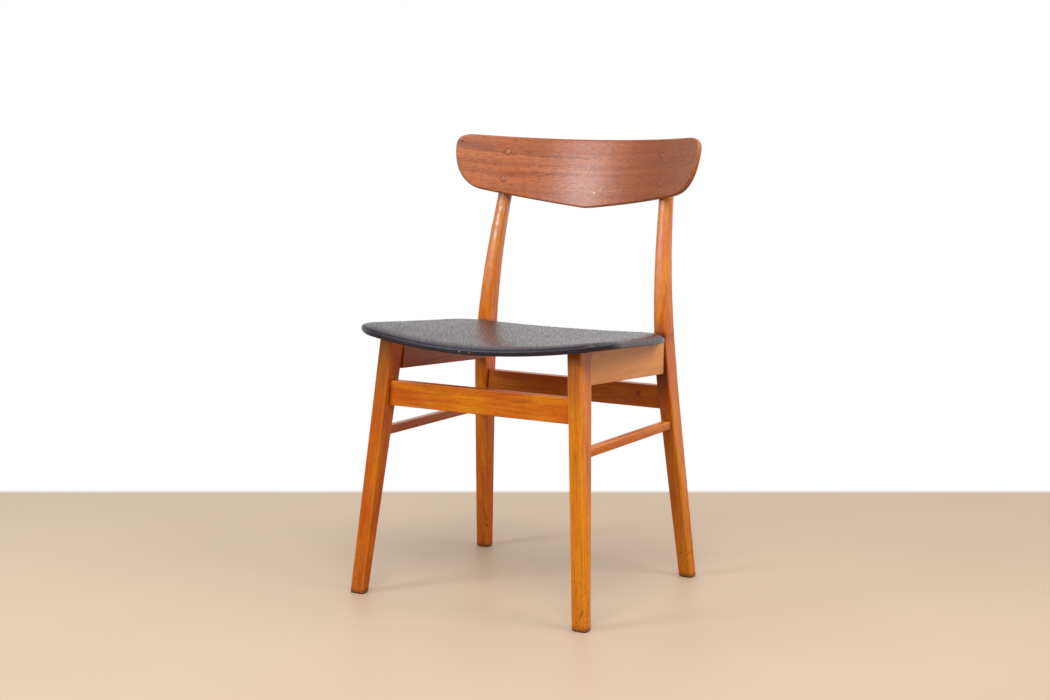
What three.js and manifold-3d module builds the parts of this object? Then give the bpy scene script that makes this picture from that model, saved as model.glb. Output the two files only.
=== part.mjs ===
// A dining chair: a curved plywood back faced in teak, a scooped seat covered in black vinyl,
// and a stained beech frame of splayed legs, rails and stretchers joined with dowels.
// Millimetres, +Z up, the sitter faces -Y. Depths are measured back from the front feet.

import * as THREE from 'three';
import { mergeVertices } from 'three/addons/utils/BufferGeometryUtils.js';
import Module from 'manifold-3d';

const wasm = await Module();
wasm.setup();

// Fits and facets
const clearance = 0.3;
const overrun = 12;
const weldTolerance = 1e-4;
const cornerSteps = 3;
const bendSteps = 9;
const roundSides = 12;
const boreSides = 20;
const seatCurveSteps = { front: 6, frontCorner: 6, side: 4, rearCorner: 5, rear: 3 };
const backCurveSteps = { top: 10, corner: 6, side: 7, lower: 7, apex: 2 };

// Frame: where the feet stand, and how the legs lean
const frontFootSpan = 442;
const rearFootSpan = 430.4;
const footDepthSpan = 392.9;
const frontSplay = THREE.MathUtils.degToRad(4.77);
const rearSplay = THREE.MathUtils.degToRad(4.2);
const frontRake = THREE.MathUtils.degToRad(7.12);
const backTilt = THREE.MathUtils.degToRad(14);
const seatUndersideHeight = 444;

// Front legs: rounded rectangles that widen towards the seat
const frontFootWidth = 26.6;
const frontFootDepth = 20.2;
const frontTopWidth = 25.2;
const frontTopDepth = 40.6;
const legCorner = 4;
const footChamfer = 2.2;

// Rear legs: one piece from floor to back, bent at the knee above the seat
const rearFootWidth = 26;
const rearFootDepth = 20.6;
const rearWideWidth = 25.2;
const rearWideDepth = 38;
const wideBelowSeat = 59;
const postWidth = 24;
const postDepth = 23;
const postCorner = 8.6;
const slimAboveSeat = 206;
const kneeAboveSeat = 36;
const kneeAheadOfFoot = 49.7;
const bendBelowKnee = 150;
const bendAboveKnee = 160;
const postTopBelowBack = 8;
const postTopRound = 4;
const postReach = 7;
const reachBelowBack = 79;
const reachRise = 18;

// Side rails that carry the seat
const railThickness = 22;
const railHeight = 56;
const railSetIn = 2;
const railTilt = THREE.MathUtils.degToRad(3.4);
const barEdge = 1.6;

// Front and rear stretchers
const stretcherThickness = 18;
const frontStretcherHeight = 42.8;
const frontStretcherDrop = 18.7;
const frontStretcherSetBack = 3;
const rearStretcherHeight = 40.6;
const rearStretcherDrop = 22.8;
const rearStretcherSetIn = 2;

// Lower side stretchers
const lowerThickness = 16;
const lowerHeight = 15;
const lowerDrop = 39.4;
const lowerEdge = 2.4;

// Dowels
const railDowelDiameter = 10;
const railDowelLength = 34;
const railDowelSpacing = 28;
const stretcherDowelDiameter = 8;
const stretcherDowelLength = 30;
const stretcherDowelSpacing = 20;
const lowerDowelDiameter = 8;
const lowerDowelLength = 28;
const dowelChamfer = 1;

// Back: a cylinder of plywood, cut to a shallow V below
const backRadius = 490;
const backWidth = 515.4;
const backHeight = 124.6;
const backThickness = 10;
const backEdge = 3;
const backRearEdge = 4;
const backTopAboveSeat = 327.8;
const postStandOff = 12.5;

// Points of the back's outline, as shares of half its width and of its height
const topEndShares = [0.877, 0.964];
const cornerShares = [1.003, 0.953];
const sideTopShares = [1, 0.764];
const sideBowShares = [0.997, 0.54];
const hipShares = [0.953, 0.2];
const lowerEndShares = [0.776, 0.161];
const apexStartShares = [0.093, 0.017];
const apexBowShares = [0.02, 0];

// Pegs that plug the bores over the back's screws, and the screws' bite into the posts
const pegDiameter = 10;
const pegLength = 3.2;
const pegChamfer = 0.4;
const upperPegDrop = 31.5;
const pegSpacing = 50.5;
const pegOutset = 4;
const backScrewBite = 15;

// Seat: a plywood shell, hollowed from side to side, more at the front than behind
const seatTilt = THREE.MathUtils.degToRad(3);
const plyThickness = 6;
const frontScoop = 24.8;
const rearScoop = 7;
const frontOverhang = 39.3;
const frontBow = 26.6;
const seatPostGap = 9;
const rearBow = 10;
const sideOverhangFront = 59.6;
const sideOverhangRear = 24.9;
const frontCornerRun = 62.6;
const rearCornerRun = 68.8;
const seatRingShares = [0.25, 0.5, 0.76];

// Padding and its vinyl cover
const coverThickness = 0.8;
const flapWidth = 20;
const frontCrown = 6;
const rearCrown = 9;
const middleCrown = 2;
const crownRun = 27;
const crownRunShares = [0.11, 0.33, 0.63, 1];
const padSetIn = 2;
const rimRise = 0.7;
const creaseSetIn = 2.6;

// Screws: a slotted round head, a plain shank and a threaded tip
const screwHeadDiameter = 8.8;
const screwHeadHeight = 2.8;
const screwShankDiameter = 4.4;
const screwRootDiameter = 3.4;
const screwCrownShare = 0.72;
const screwTurns = 4;
const screwPitch = 2.2;
const threadRootShare = 0.35;
const screwTip = 3;
const slotWidth = 1.2;
const slotDepth = 1.1;
const counterboreDiameter = 10.6;
const seatScrewShare = 0.17;
const seatScrewCounterbore = 17;
const seatScrewCover = 1.4;

const slots = {
  teak: { color: 0x9a5a36, roughness: 0.42, metalness: 0 },
  beech: { color: 0xb5651f, roughness: 0.4, metalness: 0 },
  dowelWood: { color: 0xd9b27c, roughness: 0.7, metalness: 0 },
  plywood: { color: 0xc49a63, roughness: 0.65, metalness: 0 },
  foam: { color: 0xe6d9ae, roughness: 0.95, metalness: 0 },
  vinyl: { color: 0x37373a, roughness: 0.46, metalness: 0 },
  steel: { color: 0xa6a7a5, roughness: 0.34, metalness: 0.9 },
};

const { lerp, clamp } = THREE.MathUtils;
const right = new THREE.Vector3(1, 0, 0);
const up = new THREE.Vector3(0, 0, 1);
const sides = { left: -1, right: 1 };

// Solids and geometry

function signedVolume(positions, index) {
  const a = new THREE.Vector3();
  const b = new THREE.Vector3();
  const c = new THREE.Vector3();
  let volume = 0;
  for (let i = 0; i < index.length; i += 3) {
    a.fromArray(positions, 3 * index[i]);
    b.fromArray(positions, 3 * index[i + 1]);
    c.fromArray(positions, 3 * index[i + 2]);
    volume += a.dot(b.cross(c)) / 6;
  }
  return volume;
}

function facingOut(geometry) {
  const index = Array.from(geometry.index.array);
  if (signedVolume(geometry.attributes.position.array, index) < 0) {
    for (let i = 0; i < index.length; i += 3) {
      [index[i], index[i + 1]] = [index[i + 1], index[i]];
    }
    geometry.setIndex(index);
  }
  return geometry;
}

function solidOf(geometry) {
  const bare = geometry.clone();
  bare.deleteAttribute('normal');
  bare.deleteAttribute('uv');
  const merged = facingOut(mergeVertices(bare, weldTolerance));
  const mesh = new wasm.Mesh({
    numProp: 3,
    vertProperties: new Float32Array(merged.attributes.position.array),
    triVerts: new Uint32Array(merged.index.array),
  });
  return new wasm.Manifold(mesh);
}

function geometryOf(solid) {
  const mesh = solid.getMesh();
  const geometry = new THREE.BufferGeometry();
  geometry.setAttribute('position', new THREE.BufferAttribute(mesh.vertProperties, 3));
  geometry.setIndex(new THREE.BufferAttribute(mesh.triVerts, 1));
  return geometry;
}

function cutAway(solid, cutters) {
  return cutters.reduce((rest, cutter) => rest.subtract(cutter), solid);
}

// The faces that close a loop: a fan about its centre, or a ladder between its two long sides
function fan(points, start, count) {
  const centre = new THREE.Vector3();
  points.slice(start, start + count).forEach((point) => centre.add(point));
  const hub = points.push(centre.divideScalar(count)) - 1;
  const faces = [];
  for (let i = 0; i < count; i += 1) {
    faces.push(start + i, start + ((i + 1) % count), hub);
  }
  return faces;
}

function ladder(points, start, count) {
  const faces = [];
  const half = count / 2;
  const at = (i) => start + ((i + count) % count);
  for (let i = -half / 2; i < half / 2; i += 1) {
    const [a, b, c, d] = [at(i), at(i + 1), at(half - i - 1), at(half - i)];
    if (b !== c) faces.push(a, b, c);
    if (a !== d) faces.push(a, c, d);
  }
  return faces;
}

// Two faces across a quad, split along its shorter diagonal
function quadFaces(points, a, b, c, d) {
  const shorter = points[a].distanceTo(points[c]) < points[b].distanceTo(points[d]);
  return shorter ? [a, b, c, a, c, d] : [a, b, d, b, c, d];
}

// A closed body through a row of loops, with the first and the last closed over
function ringBody(rings, close = fan) {
  const count = rings[0].length;
  const points = rings.flat();
  const index = [];
  for (let r = 0; r < rings.length - 1; r += 1) {
    for (let i = 0; i < count; i += 1) {
      const a = r * count + i;
      const b = r * count + ((i + 1) % count);
      index.push(...quadFaces(points, a, b, b + count, a + count));
    }
  }
  index.push(...close(points, 0, count).reverse());
  index.push(...close(points, (rings.length - 1) * count, count));
  const geometry = new THREE.BufferGeometry().setFromPoints(points);
  geometry.setIndex(index);
  return facingOut(geometry);
}

function revolved(profile, segments) {
  return new THREE.LatheGeometry(profile.map(([x, y]) => new THREE.Vector2(x, y)), segments);
}

// Turns a shape built on the Y axis so that Y points along a direction, and moves it to a place
function placeAlong(geometry, place, direction) {
  const turn = new THREE.Quaternion().setFromUnitVectors(new THREE.Vector3(0, 1, 0), direction);
  geometry.applyQuaternion(turn);
  geometry.translate(place.x, place.y, place.z);
  return geometry;
}

function roundedSection(halfX, halfY, radius) {
  const corner = Math.min(radius, halfX, halfY);
  const points = [];
  [[1, 1], [-1, 1], [-1, -1], [1, -1]].forEach(([sx, sy], quarter) => {
    for (let step = 0; step <= cornerSteps; step += 1) {
      const angle = (quarter + step / cornerSteps) * (Math.PI / 2);
      const x = sx * (halfX - corner) + corner * Math.cos(angle);
      const y = sy * (halfY - corner) + corner * Math.sin(angle);
      points.push(new THREE.Vector2(x, y));
    }
  });
  return points;
}

// A straight bar of rounded rectangular section between two points
function bar(from, to, thickness, height, edge) {
  const along = to.clone().sub(from);
  const length = along.length();
  along.normalize();
  const across = new THREE.Vector3().crossVectors(up, along).normalize();
  const rise = new THREE.Vector3().crossVectors(along, across);
  const section = new THREE.Shape(roundedSection(thickness / 2, height / 2, edge));
  const geometry = new THREE.ExtrudeGeometry(section, { depth: length, bevelEnabled: false });
  geometry.applyMatrix4(new THREE.Matrix4().makeBasis(across, rise, along).setPosition(from));
  return geometry;
}

// Legs: each is a centre line and a section that change with height

const frontLeg = {
  x: (z) => frontFootSpan / 2 - z * Math.tan(frontSplay),
  y: (z) => z * Math.tan(frontRake),
  halfWidth: (z) => lerp(frontFootWidth, frontTopWidth, z / seatUndersideHeight) / 2,
  halfDepth: (z) => lerp(frontFootDepth, frontTopDepth, z / seatUndersideHeight) / 2,
  corner: () => legCorner,
};

const kneeHeight = seatUndersideHeight + kneeAboveSeat;
const wideHeight = seatUndersideHeight - wideBelowSeat;
const slimHeight = seatUndersideHeight + slimAboveSeat;
const backTopHeight = seatUndersideHeight + backTopAboveSeat;
const kneeDepth = footDepthSpan - kneeAheadOfFoot;
const bendStart = kneeHeight - bendBelowKnee;
const bendEnd = kneeHeight + bendAboveKnee;

function shinDepth(z) {
  return footDepthSpan - (kneeAheadOfFoot * z) / kneeHeight;
}

function postDepthAt(z) {
  return kneeDepth + (z - kneeHeight) * Math.tan(backTilt);
}

// The bend is a parabola that leaves the shin and joins the post without a corner
function rearDepth(z) {
  if (z <= bendStart) return shinDepth(z);
  if (z >= bendEnd) return postDepthAt(z);
  const curve = bendEnd - 2 * kneeHeight + bendStart;
  const slope = 2 * (kneeHeight - bendStart);
  const root = Math.sqrt(slope * slope - 4 * curve * (bendStart - z));
  const t = (2 * (z - bendStart)) / (slope + root);
  return (1 - t) ** 2 * shinDepth(bendStart) + 2 * t * (1 - t) * kneeDepth + t * t * postDepthAt(bendEnd);
}

function rearSize(z, foot, wide, slim) {
  if (z < wideHeight) return lerp(foot, wide, z / wideHeight);
  return lerp(wide, slim, clamp((z - wideHeight) / (slimHeight - wideHeight), 0, 1));
}

// Behind the back panel the post reaches forward to meet it
const reachEnd = backTopHeight - reachBelowBack;
const reachStart = reachEnd - reachRise;

function reachAt(z) {
  return postReach * clamp((z - reachStart) / reachRise, 0, 1);
}

const rearLeg = {
  x: (z) => rearFootSpan / 2 - z * Math.tan(rearSplay),
  y: (z) => rearDepth(z) - reachAt(z) / 2,
  halfWidth: (z) => rearSize(z, rearFootWidth, rearWideWidth, postWidth) / 2,
  halfDepth: (z) => (rearSize(z, rearFootDepth, rearWideDepth, postDepth) + reachAt(z)) / 2,
  corner: (z) => rearSize(z, legCorner, legCorner, postCorner),
};

function legRing(leg, side, z, growX, growY) {
  const section = roundedSection(leg.halfWidth(z) + growX, leg.halfDepth(z) + growY, leg.corner(z));
  return section.map((p) => new THREE.Vector3(side * (leg.x(z) + p.x), leg.y(z) + p.y, z));
}

function legSolid(leg, side, heights, growX = 0, growY = 0) {
  return solidOf(ringBody(heights.map((z) => legRing(leg, side, z, growX, growY))));
}

const frontLegHeights = [footChamfer, seatUndersideHeight + overrun];
const postTop = backTopHeight - postTopBelowBack;
const postEnd = postTop - postTopRound;
const rearLegHeights = [footChamfer, wideHeight, slimHeight, reachStart, reachEnd, postEnd];
for (let step = 0; step <= bendSteps; step += 1) {
  rearLegHeights.push(lerp(bendStart, bendEnd, step / bendSteps));
}
rearLegHeights.sort((a, b) => a - b);

// How far a rounded edge is drawn in halfway round its quarter turn
function halfwayRound(radius) {
  return radius * (1 - Math.SQRT1_2);
}

// The foot's small chamfer and the rounded top of the post are rings drawn in by their size
function leg(shape, side, heights, topRound) {
  const rings = heights.map((z) => legRing(shape, side, z, 0, 0));
  rings.unshift(legRing(shape, side, 0, -footChamfer, -footChamfer));
  if (topRound > 0) {
    const top = heights[heights.length - 1] + topRound;
    const halfway = halfwayRound(topRound);
    rings.push(legRing(shape, side, top - halfway, -halfway, -halfway));
    rings.push(legRing(shape, side, top, -topRound, -topRound));
  }
  return solidOf(ringBody(rings));
}

// Seat surfaces

const railUnderFront = seatUndersideHeight - railHeight;
const frontLegDepth = frontLeg.y(seatUndersideHeight);
const railFrontX = frontLeg.x(seatUndersideHeight) - railSetIn;
const railRearX = rearLeg.x(seatUndersideHeight) - railSetIn;
const postFace = rearLeg.y(seatUndersideHeight) - rearLeg.halfDepth(seatUndersideHeight);
const seatFront = frontLegDepth - frontTopDepth / 2 - frontOverhang;
const seatCornerRear = postFace - seatPostGap;
const seatRear = seatCornerRear + rearBow;
const seatCornerFront = seatFront + frontBow;
const seatHalfFront = railFrontX + railThickness / 2 + sideOverhangFront;
const seatHalfRear = railRearX + railThickness / 2 + sideOverhangRear;

function undersideHeight(x, y) {
  const level = seatUndersideHeight - (y - frontLegDepth) * Math.tan(seatTilt);
  const scoop = lerp(frontScoop, rearScoop, (y - seatFront) / (seatRear - seatFront));
  return level - (scoop * (railFrontX ** 2 - x ** 2)) / seatHalfFront ** 2;
}

// Right half of the seat's plan, from the middle of the front to the middle of the rear
function seatHalfOutline() {
  const frontEnd = new THREE.Vector2(seatHalfFront - frontCornerRun, 0);
  const frontRise = frontBow / (seatHalfFront - frontEnd.x / 2);
  frontEnd.y = seatCornerFront - frontRise * frontCornerRun;
  const rearEnd = new THREE.Vector2(seatHalfRear - rearCornerRun, 0);
  const rearFall = rearBow / (seatHalfRear - rearEnd.x / 2);
  rearEnd.y = seatCornerRear + rearFall * rearCornerRun;
  const frontCorner = new THREE.Vector2(seatHalfFront, seatCornerFront);
  const rearCorner = new THREE.Vector2(seatHalfRear, seatCornerRear);
  const sideLength = frontCorner.distanceTo(rearCorner);
  const sideStart = frontCorner.clone().lerp(rearCorner, frontCornerRun / sideLength);
  const sideEnd = rearCorner.clone().lerp(frontCorner, rearCornerRun / sideLength);
  const frontMiddle = new THREE.Vector2(0, seatFront);
  const rearMiddle = new THREE.Vector2(0, seatRear);
  const frontBend = new THREE.Vector2(frontEnd.x / 2, seatFront);
  const rearBend = new THREE.Vector2(rearEnd.x / 2, seatRear);
  const steps = seatCurveSteps;
  return [
    [new THREE.QuadraticBezierCurve(frontMiddle, frontBend, frontEnd), steps.front],
    [new THREE.QuadraticBezierCurve(frontEnd, frontCorner, sideStart), steps.frontCorner],
    [new THREE.LineCurve(sideStart, sideEnd), steps.side],
    [new THREE.QuadraticBezierCurve(sideEnd, rearCorner, rearEnd), steps.rearCorner],
    [new THREE.QuadraticBezierCurve(rearEnd, rearBend, rearMiddle), steps.rear],
  ];
}

// Joins a half outline to its mirror image, without repeating the two points on the middle line
function fullLoop(curves) {
  const half = [];
  curves.forEach(([curve, steps]) => half.push(...curve.getPoints(steps).slice(1)));
  const first = curves[0][0].getPoint(0);
  const mirrored = half.slice(0, -1).map((p) => new THREE.Vector2(-p.x, p.y)).reverse();
  return [first, ...half, ...mirrored];
}

function insetLoop(loop, inset) {
  return loop.map((point, i) => {
    const before = loop[(i + loop.length - 1) % loop.length];
    const after = loop[(i + 1) % loop.length];
    const tangent = after.clone().sub(before).normalize();
    return new THREE.Vector2(point.x - tangent.y * inset, point.y + tangent.x * inset);
  });
}

const seatLoop = fullLoop(seatHalfOutline());
const seatMiddle = new THREE.Vector2(0, (seatFront + seatRear) / 2);
const shellSetIn = coverThickness + clearance;
const padEdge = shellSetIn + padSetIn;
const crownEdge = padEdge + crownRun;

// Plans of the seat's loops: by how far they lie in from the edge, or as shares of the inner part
function seatPlan(inset) {
  return insetLoop(seatLoop, inset);
}

const innerPlans = [...seatRingShares].reverse().map((share) => {
  const edge = seatPlan(crownEdge);
  return edge.map((p) => seatMiddle.clone().lerp(p, share));
});

function raisedRing(plan, height) {
  return plan.map((p) => new THREE.Vector3(p.x, p.y, undersideHeight(p.x, p.y) + height(p)));
}

function shellRings(bottom, top, edgeInset) {
  const plans = [seatPlan(edgeInset), seatPlan(crownEdge), ...innerPlans];
  const lower = plans.map((plan) => raisedRing(plan, () => bottom));
  const upper = plans.map((plan) => raisedRing(plan, () => top));
  return [...lower.reverse(), ...upper];
}

// Crown of the padding above the plywood, by share of the run in from its edge
function crownHeight(p, runShare, innerShare) {
  const back = clamp((p.y - seatFront) / (seatRear - seatFront), 0, 1);
  const full = lerp(frontCrown, rearCrown, back) + middleCrown * (1 - innerShare ** 2);
  return full * Math.sqrt(1 - (1 - runShare) ** 2);
}

function crownRings(lift) {
  const edge = crownRunShares.map((share) => {
    const height = (p) => plyThickness + lift + crownHeight(p, share, 1);
    return raisedRing(seatPlan(padEdge + share * crownRun), height);
  });
  const inner = innerPlans.map((plan, i) => {
    const share = seatRingShares[seatRingShares.length - 1 - i];
    const height = (p) => plyThickness + lift + crownHeight(p, 1, share);
    return raisedRing(plan, height);
  });
  return [...edge, ...inner];
}

function seatPad() {
  const base = plyThickness + clearance;
  const plans = [seatPlan(padEdge), seatPlan(crownEdge), ...innerPlans];
  const floor = plans.map((plan) => raisedRing(plan, () => base)).reverse();
  return solidOf(ringBody([...floor, ...crownRings(clearance)]));
}

// The cover's outer skin runs from the middle of the top to the edge of the flap below,
// and its inner skin runs back the same way, one thickness in
function seatCover() {
  const gap = clearance;
  const skin = gap + coverThickness;
  const outer = [
    ...crownRings(gap + skin).reverse(),
    raisedRing(seatPlan(creaseSetIn), () => plyThickness + skin),
    raisedRing(seatPlan(coverThickness), () => plyThickness + skin + rimRise),
    raisedRing(seatPlan(0), () => plyThickness + rimRise),
    raisedRing(seatPlan(0), () => rimRise),
    raisedRing(seatPlan(skin), () => -skin),
    raisedRing(seatPlan(flapWidth), () => -skin),
  ];
  const inner = [
    raisedRing(seatPlan(flapWidth), () => -gap),
    raisedRing(seatPlan(coverThickness), () => -gap),
    raisedRing(seatPlan(coverThickness), () => plyThickness + gap),
    raisedRing(seatPlan(padEdge), () => plyThickness + gap),
    ...crownRings(gap + gap),
  ];
  return solidOf(ringBody([...outer, ...inner]));
}

// Everything above the shell's underside, for trimming what carries the seat
function seatSpace() {
  const rings = shellRings(-clearance, 0, 0);
  const under = rings.slice(0, rings.length / 2);
  const skirt = raisedRing(seatPlan(-railHeight), () => -clearance);
  const lid = raisedRing(seatPlan(-railHeight), () => railHeight);
  return solidOf(ringBody([...under, skirt, lid]));
}

// Back panel: its outline lies flat in width and height, and is wrapped round a leaning cylinder

const lean = new THREE.Vector3(0, Math.sin(backTilt), Math.cos(backTilt));
const facing = new THREE.Vector3(0, -Math.cos(backTilt), Math.sin(backTilt));

function postCentre(side, z) {
  return new THREE.Vector3(side * rearLeg.x(z), postDepthAt(z), z);
}

// The cylinder's axis at the height of the panel's top, placed so that the panel's rear face
// passes in front of the posts' centre lines by their stand-off
function backAxis() {
  const post = postCentre(sides.right, backTopHeight - backHeight / 2);
  const reach = backRadius + backThickness + postStandOff;
  const turn = Math.asin(post.x / reach);
  const axis = post.setX(0).addScaledVector(facing, reach * Math.cos(turn));
  const topCentre = axis.clone().addScaledVector(facing, -backRadius);
  return axis.addScaledVector(lean, (backTopHeight - topCentre.z) / lean.z);
}

const axisPoint = backAxis();

// A point of the panel: width along the curve, height below its top, depth behind the front
function backPoint(width, height, depth) {
  const turn = width / backRadius;
  const reach = backRadius + depth;
  const point = axisPoint.clone().addScaledVector(lean, height - backHeight);
  point.addScaledVector(right, reach * Math.sin(turn));
  return point.addScaledVector(facing, -reach * Math.cos(turn));
}

function backHalfOutline() {
  const at = ([across, rise]) => new THREE.Vector2((across * backWidth) / 2, rise * backHeight);
  const top = new THREE.Vector2(0, backHeight);
  const topEnd = at(topEndShares);
  const topBend = new THREE.Vector2(topEnd.x / 2, backHeight);
  const sideTop = at(sideTopShares);
  const lowerEnd = at(lowerEndShares);
  const apexStart = at(apexStartShares);
  const apex = new THREE.Vector2(0, 0);
  const side = new THREE.CubicBezierCurve(sideTop, at(sideBowShares), at(hipShares), lowerEnd);
  const steps = backCurveSteps;
  return [
    [new THREE.QuadraticBezierCurve(top, topBend, topEnd), steps.top],
    [new THREE.QuadraticBezierCurve(topEnd, at(cornerShares), sideTop), steps.corner],
    [side, steps.side],
    [new THREE.LineCurve(lowerEnd, apexStart), steps.lower],
    [new THREE.QuadraticBezierCurve(apexStart, at(apexBowShares), apex), steps.apex],
  ];
}

const backLoop = fullLoop(backHalfOutline());

// The panel, or with a growth the space that it needs
function backBody(grow) {
  const ring = (inset, depth) => {
    const plan = insetLoop(backLoop, grow - inset);
    return plan.map((p) => backPoint(p.x, p.y, depth));
  };
  const halfway = halfwayRound(backEdge);
  const rearHalfway = halfwayRound(backRearEdge);
  const rings = [
    ring(backEdge, -grow),
    ring(halfway, halfway - grow),
    ring(0, backEdge),
    ring(0, backThickness - backRearEdge),
    ring(rearHalfway, backThickness - rearHalfway + grow),
    ring(backRearEdge, backThickness + grow),
  ];
  return solidOf(ringBody(rings, ladder));
}

// Fasteners

function screwProfile(length) {
  const head = screwHeadDiameter / 2;
  const shank = screwShankDiameter / 2;
  const root = screwRootDiameter / 2;
  const threadStart = length - screwTip - screwTurns * screwPitch;
  const profile = [[0, -screwHeadHeight], [head * screwCrownShare, -screwHeadHeight]];
  profile.push([head, -screwHeadHeight / 2], [head, 0], [shank, 0], [shank, threadStart]);
  for (let turn = 0; turn < screwTurns; turn += 1) {
    const start = threadStart + turn * screwPitch;
    profile.push([root, start + screwPitch * threadRootShare], [shank, start + screwPitch]);
  }
  profile.push([0, length]);
  return profile;
}

// The screw's head meets its seat at the place given, and its shank runs along the direction
function screw(place, direction, length) {
  const body = solidOf(revolved(screwProfile(length), roundSides));
  const slot = new THREE.BoxGeometry(screwHeadDiameter + overrun, 2 * slotDepth, slotWidth);
  slot.translate(0, -screwHeadHeight, 0);
  const cut = body.subtract(solidOf(slot));
  return placeAlong(geometryOf(cut), place, direction);
}

// The hole for a screw: a wide bore for its head, then a bore for its shank
function screwHole(place, direction, length, boreDepth) {
  const head = counterboreDiameter / 2;
  const shank = screwShankDiameter / 2 + clearance;
  const end = length + clearance;
  const profile = [[0, -boreDepth], [head, -boreDepth], [head, clearance]];
  profile.push([shank, clearance], [shank, end], [0, end]);
  return solidOf(placeAlong(revolved(profile, boreSides), place, direction));
}

// A chamfered peg with its middle at the place given
function dowel(place, direction, diameter, length, grow) {
  const radius = diameter / 2 + grow;
  const half = length / 2 + grow;
  const chamfer = grow > 0 ? 0 : dowelChamfer;
  const profile = [[0, -half], [radius - chamfer, -half]];
  if (chamfer > 0) profile.push([radius, chamfer - half], [radius, half - chamfer]);
  profile.push([radius - chamfer, half], [0, half]);
  return placeAlong(revolved(profile, roundSides), place, direction);
}

// A peg that plugs a bore, chamfered round the face that shows
function peg(face, inward) {
  const radius = pegDiameter / 2;
  const profile = [[0, 0], [radius - pegChamfer, 0], [radius, pegChamfer]];
  profile.push([radius, pegLength], [0, pegLength]);
  return placeAlong(revolved(profile, boreSides), face, inward);
}

// Assembly

const chair = new THREE.Group();

function add(name, solidOrGeometry, slot) {
  const bare = solidOrGeometry.isBufferGeometry ? solidOrGeometry : geometryOf(solidOrGeometry);
  const geometry = facingOut(mergeVertices(bare));
  const mesh = new THREE.Mesh(geometry, new THREE.MeshStandardMaterial(slots[slot]));
  mesh.name = name;
  chair.add(mesh);
}

const trim = seatSpace();
const solids = {};
const holes = {};

Object.entries(sides).forEach(([word, side]) => {
  const front = leg(frontLeg, side, frontLegHeights, 0);
  solids[`front_leg_${word}`] = front.subtract(trim);
  solids[`rear_leg_${word}`] = leg(rearLeg, side, rearLegHeights, postTopRound);
});

// Bars between the legs: each end is cut square to the leg's face, and held by dowels

const longGrow = railThickness;
const legCutters = {};
Object.entries(sides).forEach(([word, side]) => {
  const tall = [0, seatUndersideHeight + overrun];
  const kneeStops = rearLegHeights.filter((z) => z < slimHeight);
  legCutters[`front_leg_${word}`] = {
    lengthwise: legSolid(frontLeg, side, tall, longGrow, clearance),
    crosswise: legSolid(frontLeg, side, tall, clearance, longGrow),
  };
  legCutters[`rear_leg_${word}`] = {
    lengthwise: legSolid(rearLeg, side, kneeStops, longGrow, clearance),
    crosswise: legSolid(rearLeg, side, kneeStops, clearance, longGrow),
  };
});

function joint(name, barName, legName, place, direction, diameter, length) {
  add(name, dowel(place, direction, diameter, length, 0), 'dowelWood');
  const hole = solidOf(dowel(place, direction, diameter, length, clearance));
  holes[barName] = [...(holes[barName] ?? []), hole];
  holes[legName] = [...(holes[legName] ?? []), hole];
}

function heightsAbout(middle, spacing) {
  if (spacing === 0) return { only: middle };
  return { upper: middle + spacing / 2, lower: middle - spacing / 2 };
}

// A point of a leg's centre line, moved in towards the middle of the chair
function legPoint(shape, side, z, setIn) {
  return new THREE.Vector3(side * (shape.x(z) - setIn), shape.y(z), z);
}

// A bar that runs front to back on one side of the chair
function lengthwiseBar(name, word, heights, setIn, size, dowels, dowelDrop = 0) {
  const from = legPoint(frontLeg, sides[word], heights.front, setIn);
  const to = legPoint(rearLeg, sides[word], heights.rear, setIn);
  const ends = { front: [frontLeg, 1], rear: [rearLeg, -1] };
  const cutters = Object.keys(ends).map((end) => legCutters[`${end}_leg_${word}`].lengthwise);
  solids[name] = cutAway(solidOf(bar(from, to, size.thickness, size.height, size.edge)), cutters);
  const direction = to.clone().sub(from).normalize();
  Object.entries(ends).forEach(([end, [shape, sign]]) => {
    const axis = end === 'front' ? from.z : to.z;
    Object.entries(heightsAbout(axis - dowelDrop, dowels.spacing)).forEach(([level, z]) => {
      const face = shape.y(z) + sign * shape.halfDepth(z);
      const share = (face - from.y) / (to.y - from.y);
      const place = from.clone().lerp(to, share);
      place.z += z - axis;
      const suffix = level === 'only' ? '' : `_${level}`;
      const label = `${name}_${end}_dowel${suffix}`;
      joint(label, name, `${end}_leg_${word}`, place, direction, dowels.diameter, dowels.length);
    });
  });
  return { from, to, direction };
}

// A bar that runs from side to side between two legs
function crosswiseBar(name, end, shape, middle, setBack, size, dowels) {
  const depth = shape.y(middle) + setBack;
  const from = new THREE.Vector3(-shape.x(middle), depth, middle);
  const to = new THREE.Vector3(shape.x(middle), depth, middle);
  const cutters = Object.keys(sides).map((word) => legCutters[`${end}_leg_${word}`].crosswise);
  solids[name] = cutAway(solidOf(bar(from, to, size.thickness, size.height, size.edge)), cutters);
  Object.entries(sides).forEach(([word, side]) => {
    Object.entries(heightsAbout(middle, dowels.spacing)).forEach(([level, z]) => {
      const place = new THREE.Vector3(side * (shape.x(z) - shape.halfWidth(z)), depth, z);
      const label = `${name}_${word}_dowel_${level}`;
      joint(label, name, `${end}_leg_${word}`, place, right, dowels.diameter, dowels.length);
    });
  });
}

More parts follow.
